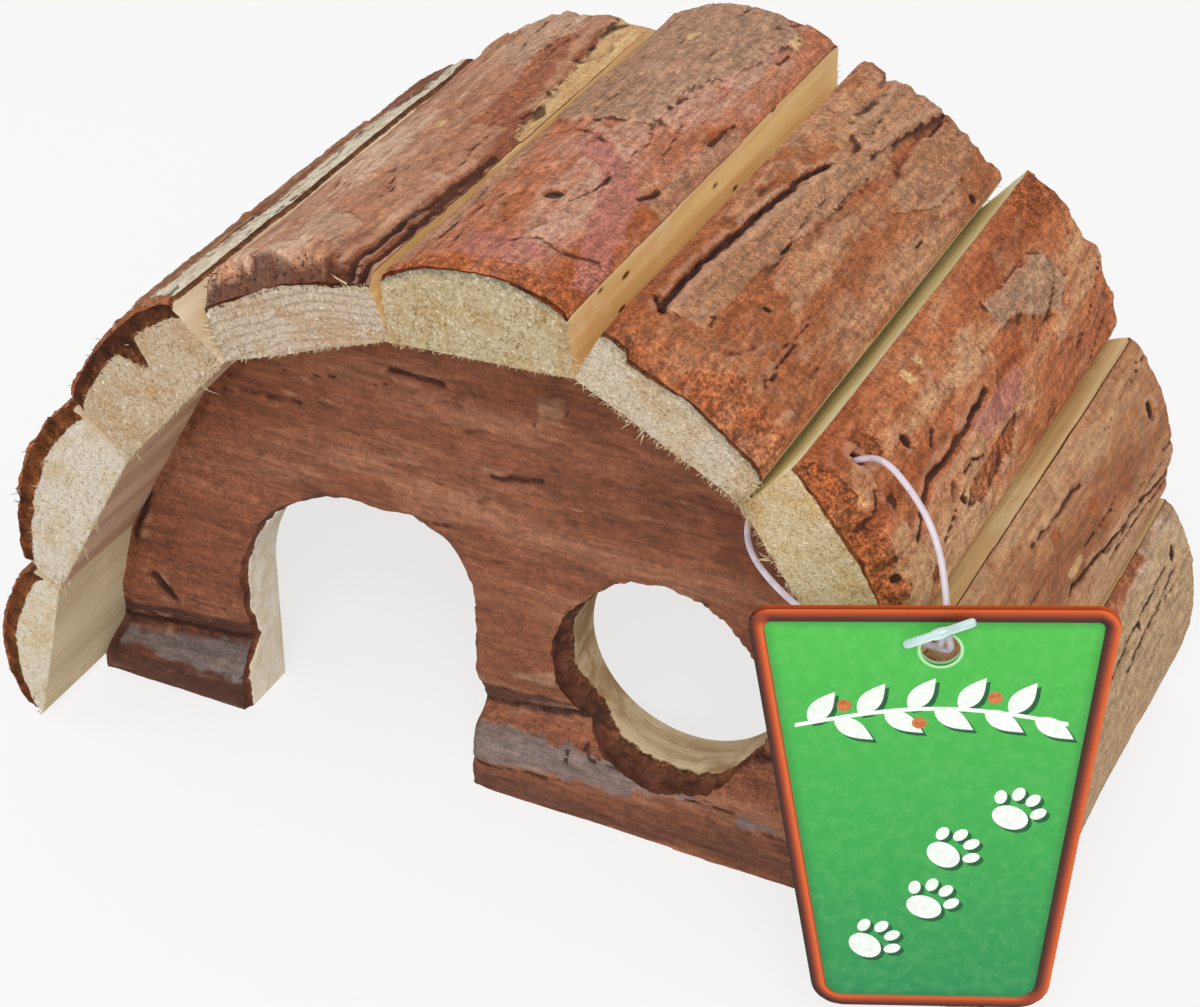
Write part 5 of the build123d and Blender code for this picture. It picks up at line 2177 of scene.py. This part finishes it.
def slabs() -> list[Slab]:
    """Lists the nine slabs, each with its own bark, ends and marks.

    Returns:
        The slabs, clockwise from the left foot.
    """
    brown = BarkFinish((88, 50, 32), (122, 76, 48), (144, 100, 72), (48, 28, 20), pale=(232, 220, 194))
    left_side = PlanedFinish((238, 224, 196), (216, 192, 158))
    yellow_side = PlanedFinish((250, 238, 200), (236, 220, 170))
    honey_side = PlanedFinish((236, 206, 154), (204, 166, 114))
    honey_end = SawnEndFinish((234, 210, 168), (192, 162, 118))
    cream = PlanedFinish((222, 206, 172), (204, 184, 148), 0.2)
    return [
        Slab(
            1, -76, BarkRelief(11, fibre=0.26, swell=0.6, cracks=16), brown,
            SawnEndFinish((238, 228, 206), (214, 196, 164), bark=(108, 60, 32), inner=(156, 98, 52)),
            left_side,
            EndStyle(rind=2.3, bevel=0.9, bevel_drop=0.4, inner_fibres=50, fibre_length=0.35), cream,
        ),
        Slab(
            2, -61.2, BarkRelief(12, fibre=0.26, swell=0.6, cracks=16), brown,
            SawnEndFinish((236, 224, 206), (204, 186, 160), bark=(112, 62, 32), inner=(160, 100, 54)),
            left_side,
            EndStyle(
                rind=2.5, bevel=0.9, bevel_drop=0.4, tufts=60, inner_fibres=170, fibre_length=0.65,
                splinters=(
                    (0.04, 0.6, -0.9, -0.2, 2.2), (0.02, 1.6, -1.0, 0.5, 1.8),
                    (0.5, 0.2, 0.1, -0.9, 1.2), (0.03, 0.2, -0.3, -0.9, 3.0),
                    (0.08, 0.1, 0.0, -1.0, 2.2), (0.3, 0.1, -0.2, -1.0, 1.7),
                ),
            ),
        ),
        Slab(
            3, -49.1, BarkRelief(13, fibre=0.26, swell=0.6, cracks=14, marks=SLAT_MARKS[3]), brown,
            SawnEndFinish((216, 193, 164), (180, 151, 116), bark=(80, 44, 26), inner=(134, 80, 42)),
            left_side,
            EndStyle(
                rind=2.2, bevel=1.2, bevel_drop=0.6, tufts=60, inner_fibres=190, fibre_length=0.65,
                inclusions=((0.56, 0.05, 3.4), (0.6, 0.03, 2.0)),
                splinters=(
                    (0.97, 1.5, 0.8, 0.5, 1.4), (0.1, 0.1, 0.1, -0.9, 1.5),
                    (0.35, 0.1, -0.3, -0.9, 1.3), (0.8, 0.1, 0.3, -0.8, 1.7),
                ),
            ),
        ),
        Slab(
            4, -21.4, BarkRelief(14, plate=(8.0, 18.0), marks=SLAT_MARKS[4]),
            BarkFinish(
                (144, 84, 58), (180, 128, 98), (206, 170, 144), rose=(74, 34, 22), rust=(150, 84, 54),
                ashen=(184, 144, 116),
            ),
            SawnEndFinish(
                (220, 200, 178), (180, 151, 126), bark=(74, 36, 20), inner=(150, 80, 36), ringed=0.6
            ),
            PlanedFinish((238, 206, 150), (206, 168, 112)),
            EndStyle(
                rind=0.35, bevel=2.6, inner_fibres=60, bark_fibres=70, fibre_length=0.42,
                wood_top=((0, 7.4), (0.5, 8.9), (1, 7.8)), edge=ROSE, edge_strength=1.0, tufts=260,
                splinters=(
                    (0.98, 6.5, 0.2, 1.0, 1.4), (0.9, 7.6, -0.5, 0.9, 1.6), (1.0, 1.0, 0.9, 0.2, 1.0),
                    (0.0, 0.5, -0.9, -0.4, 1.7), (0.0, 2.5, -1.0, 0.2, 1.3), (0.0, 4.5, -1.0, 0.3, 1.2),
                ),
            ),
        ),
        Slab(
            5, -3.9, BarkRelief(15, marks=SLAT_MARKS[5]),
            BarkFinish((168, 90, 46), (182, 116, 86), (196, 150, 126), grit=0.68),
            SawnEndFinish(
                (213, 193, 156), (168, 144, 106), stained=0.85, bark=(92, 44, 22), inner=(158, 84, 36)
            ),
            PlanedFinish((238, 206, 154), (218, 176, 124), 1.0),
            EndStyle(
                rind=0.4, bevel=0.9, bevel_drop=0.25, inner_fibres=50, fibre_length=0.35,
                edge_strength=0.6,
                splinters=(
                    (1.0, 7.6, 1.0, 0.35, 2.2), (1.0, 4.5, 1.0, -0.2, 1.3), (1.0, 2.0, 0.9, -0.3, 1.0),
                ),
            ),
        ),
        Slab(
            6, 27.8, BarkRelief(16, cracks=9, marks=SLAT_MARKS[6]),
            BarkFinish(
                (144, 78, 46), (164, 98, 60), (188, 138, 102), (56, 32, 32), rust=(148, 80, 44),
                ashen=(172, 126, 94), grit=0.72,
            ),
            SawnEndFinish(
                (226, 208, 184), (186, 162, 134), stained=0.5, bark=(96, 56, 34), inner=(160, 100, 60)
            ),
            yellow_side,
            EndStyle(
                rind=0.35, bevel=4.4, inner_fibres=90, fibre_length=0.6,
                wood_top=((0, 8.2), (0.14, 8.2), (0.17, 6.9), (0.5, 7.6), (1, 5.4)), edge_strength=0.3,
                splinters=(
                    (0.93, 0.6, 0.8, -0.3, 2.8), (0.97, 1.0, 1.0, -0.1, 3.0), (1.0, 1.8, 1.0, 0.1, 2.4),
                    (0.35, 0.1, -0.2, -0.9, 1.3), (0.42, 0.1, -0.2, -0.9, 1.1),
                ),
            ),
        ),
        Slab(
            7, 56, BarkRelief(17, skew=-0.35, cracks=6, marks=SLAT_MARKS[7]),
            BarkFinish((150, 76, 40), (180, 108, 68), (200, 150, 110), rust=(152, 82, 42), grit=0.75),
            SawnEndFinish((240, 216, 174), (200, 170, 126), bark=(122, 70, 38), inner=(176, 114, 64)),
            yellow_side,
            EndStyle(
                rind=0.4, bevel=3.2, inner_fibres=90, wood_top=((0, 9.5), (0.5, 10.2), (1, 9.4)),
                edge_strength=0.35, splinters=((0.3, 0.1, -0.3, -0.9, 1.6),),
            ),
        ),
        Slab(
            8, 66, BarkRelief(18, step=0.3, swell=0.35, cracks=18, marks=SLAT_MARKS[8]),
            BarkFinish((150, 94, 60), (176, 122, 84), (192, 148, 110), ashen=(170, 130, 98), grit=0.38),
            honey_end, honey_side, EndStyle(rind=0.9, bevel=1.4, bevel_drop=0.6),
        ),
        Slab(
            9, 75,
            BarkRelief(
                19, step=0.22, swell=0.35, levels=2.0, cracks=16, crack_depth=0.3, marks=SLAT_MARKS[9]
            ),
            BarkFinish((136, 84, 58), (168, 130, 102), (194, 166, 138), pale=(192, 160, 122)),
            honey_end, honey_side, EndStyle(rind=0.6, bevel=0.9, bevel_drop=0.4),
        ),
    ]


def front_relief() -> BarkRelief:
    """Lists the front board's bark: bands of weathered colour and painted shade low down, red-brown above.

    Returns:
        The bark.
    """
    return BarkRelief(
        41, plate=(4.5, 20.0), step=0.22, levels=2.0, swell=0.35, cracks=60, crack_depth=0.45,
        marks=BOARD_MARKS,
    )


# How far the front board's bark stands out, up along its grain, and how the grain rises across it
FRONT_PROFILE = (
    (0, 1.6), (8.0, 1.6), (9.5, 1.1), (12.0, -2.0), (13.2, -2.5), (14.8, -2.1), (20, 0), (50, -0.6),
    (82, -1.4),
)
FRONT_RISE = ((-69, -5.5), (-46, -2.5), (-8, -0.5), (6, 2), (22, 3.5), (67, 4.5))


class House:
    """The whole rodent house."""

    def __init__(self) -> None:
        """Builds the shared groups."""
        make_bark_group()
        make_rind_group()

    def build_tag(self) -> None:
        """Makes the tag, its bar and its loop."""
        tag = HangTag()
        inks = [
            CardFinish().material("printed_green_card"),
            InkFinish((226, 232, 214), (196, 214, 184), 0.7).material("card_core"),
            InkFinish((246, 248, 244), (226, 234, 224)).material("white_ink"),
            InkFinish((20, 84, 44), (28, 96, 52)).material("dark_green_ink"),
            InkFinish((214, 130, 74), (180, 96, 50)).material("copper_ink"),
        ]
        moulded = NylonFinish((214, 236, 236), (176, 208, 206), 0.3, 0.2, 160.0)
        bar = tag.bar(moulded.material("moulded_nylon"))
        card = tag.card(inks)
        line = NylonFinish((240, 228, 236), (214, 202, 216), 0.3, 0.16, 300.0)
        tag.loop(line.material("clear_filament"), [bar, card])

    def build_slabs(self) -> list[Slab]:
        """Makes the nine slabs.

        Returns:
            The slabs.
        """
        fibre = SawnEndFinish((232, 216, 180), (206, 182, 138)).material("saw_fibre")
        made = slabs()
        for slab in made:
            materials = [
                slab.bark.material(f"{slab.name}_bark"),
                slab.planed.material(f"{slab.name}_planed"),
                slab.end.material(f"{slab.name}_end"),
                fibre,
                slab.inner.material(f"{slab.name}_inner"),
            ]
            slab.build(materials)
        return made

    def build_boards(self, arch: list[Place]) -> None:
        """Makes the front and rear boards.

        Args:
            arch: The slabs' inner corners, from the left foot to the right.
        """
        # Its seventh colour, a dark brown, is the painted shade on the left leg and in the groove
        bark = BarkFinish(
            (114, 66, 46), (134, 82, 58), (154, 104, 78), (56, 30, 22), (158, 118, 92), (124, 113, 110),
            (70, 44, 37), (140, 86, 62), 0.36, (0.14, 1.0, 1.0),
        )
        long_grain = (0.06, 1.0, 1.0)
        materials = [
            bark.material("board_bark"),
            PlanedFinish(grain=long_grain).material("board_planed"),
            PlanedFinish(
                (255, 248, 234), (242, 226, 200), 0.2, (92, 50, 30), (124, 78, 46), long_grain, 1.0
            ).material("board_cut"),
            # A darker copy of the cut wood above: painted shade on the window's walls
            PlanedFinish(
                (224, 202, 164), (178, 146, 106), 0.3, (86, 48, 33), (126, 80, 50), long_grain, 1.0
            ).material("window_cut"),
        ]
        front = Board(
            "front",
            "front_board",
            arch,
            -23.75,
            -14.75,
            front_relief(),
            FRONT_PROFILE,
            FRONT_RISE,
            ((-8.1, 0.0, 0.0), (-8.1, 40.6, 11.0), (-44.8, 40.6, 20.0), (-44.8, 0.0, 0.0)),
            (20.9, 26.6, 15.0),
        )
        plain = BarkRelief(53, (5.0, 18.0), cracks=60)
        rear = Board("rear", "rear_board", arch, 38.25, 30.75, plain, spacing=1.0)
        front.build(materials)
        rear.build(materials)

    def dress_nails(self) -> None:
        """Gives the nails their steel."""
        steel = SteelFinish().material("nail_steel_worn")
        for name in ("front_nails", "rear_nails"):
            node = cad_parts[name]
            node.data.materials.clear()
            node.data.materials.append(steel)
            log.info("%s: dressed", name)


def main() -> None:
    """Builds the house and its studio."""
    logging.basicConfig(level=logging.INFO, format="%(name)s: %(message)s")
    studio = Studio()
    studio.camera()
    studio.world()
    studio.floor()
    studio.lamp("key", (0.36, -0.8, 0.76), 6.6, 0.55)
    studio.lamp("fill", (-0.7, -0.45, 0.5), 1.3, 0.6)
    house = House()
    house.build_tag()
    made = house.build_slabs()
    arch = [made[0].corner(0)] + [slab.corner(1) for slab in made]
    house.build_boards(arch)
    house.dress_nails()


if __name__ == "__main__":
    main()
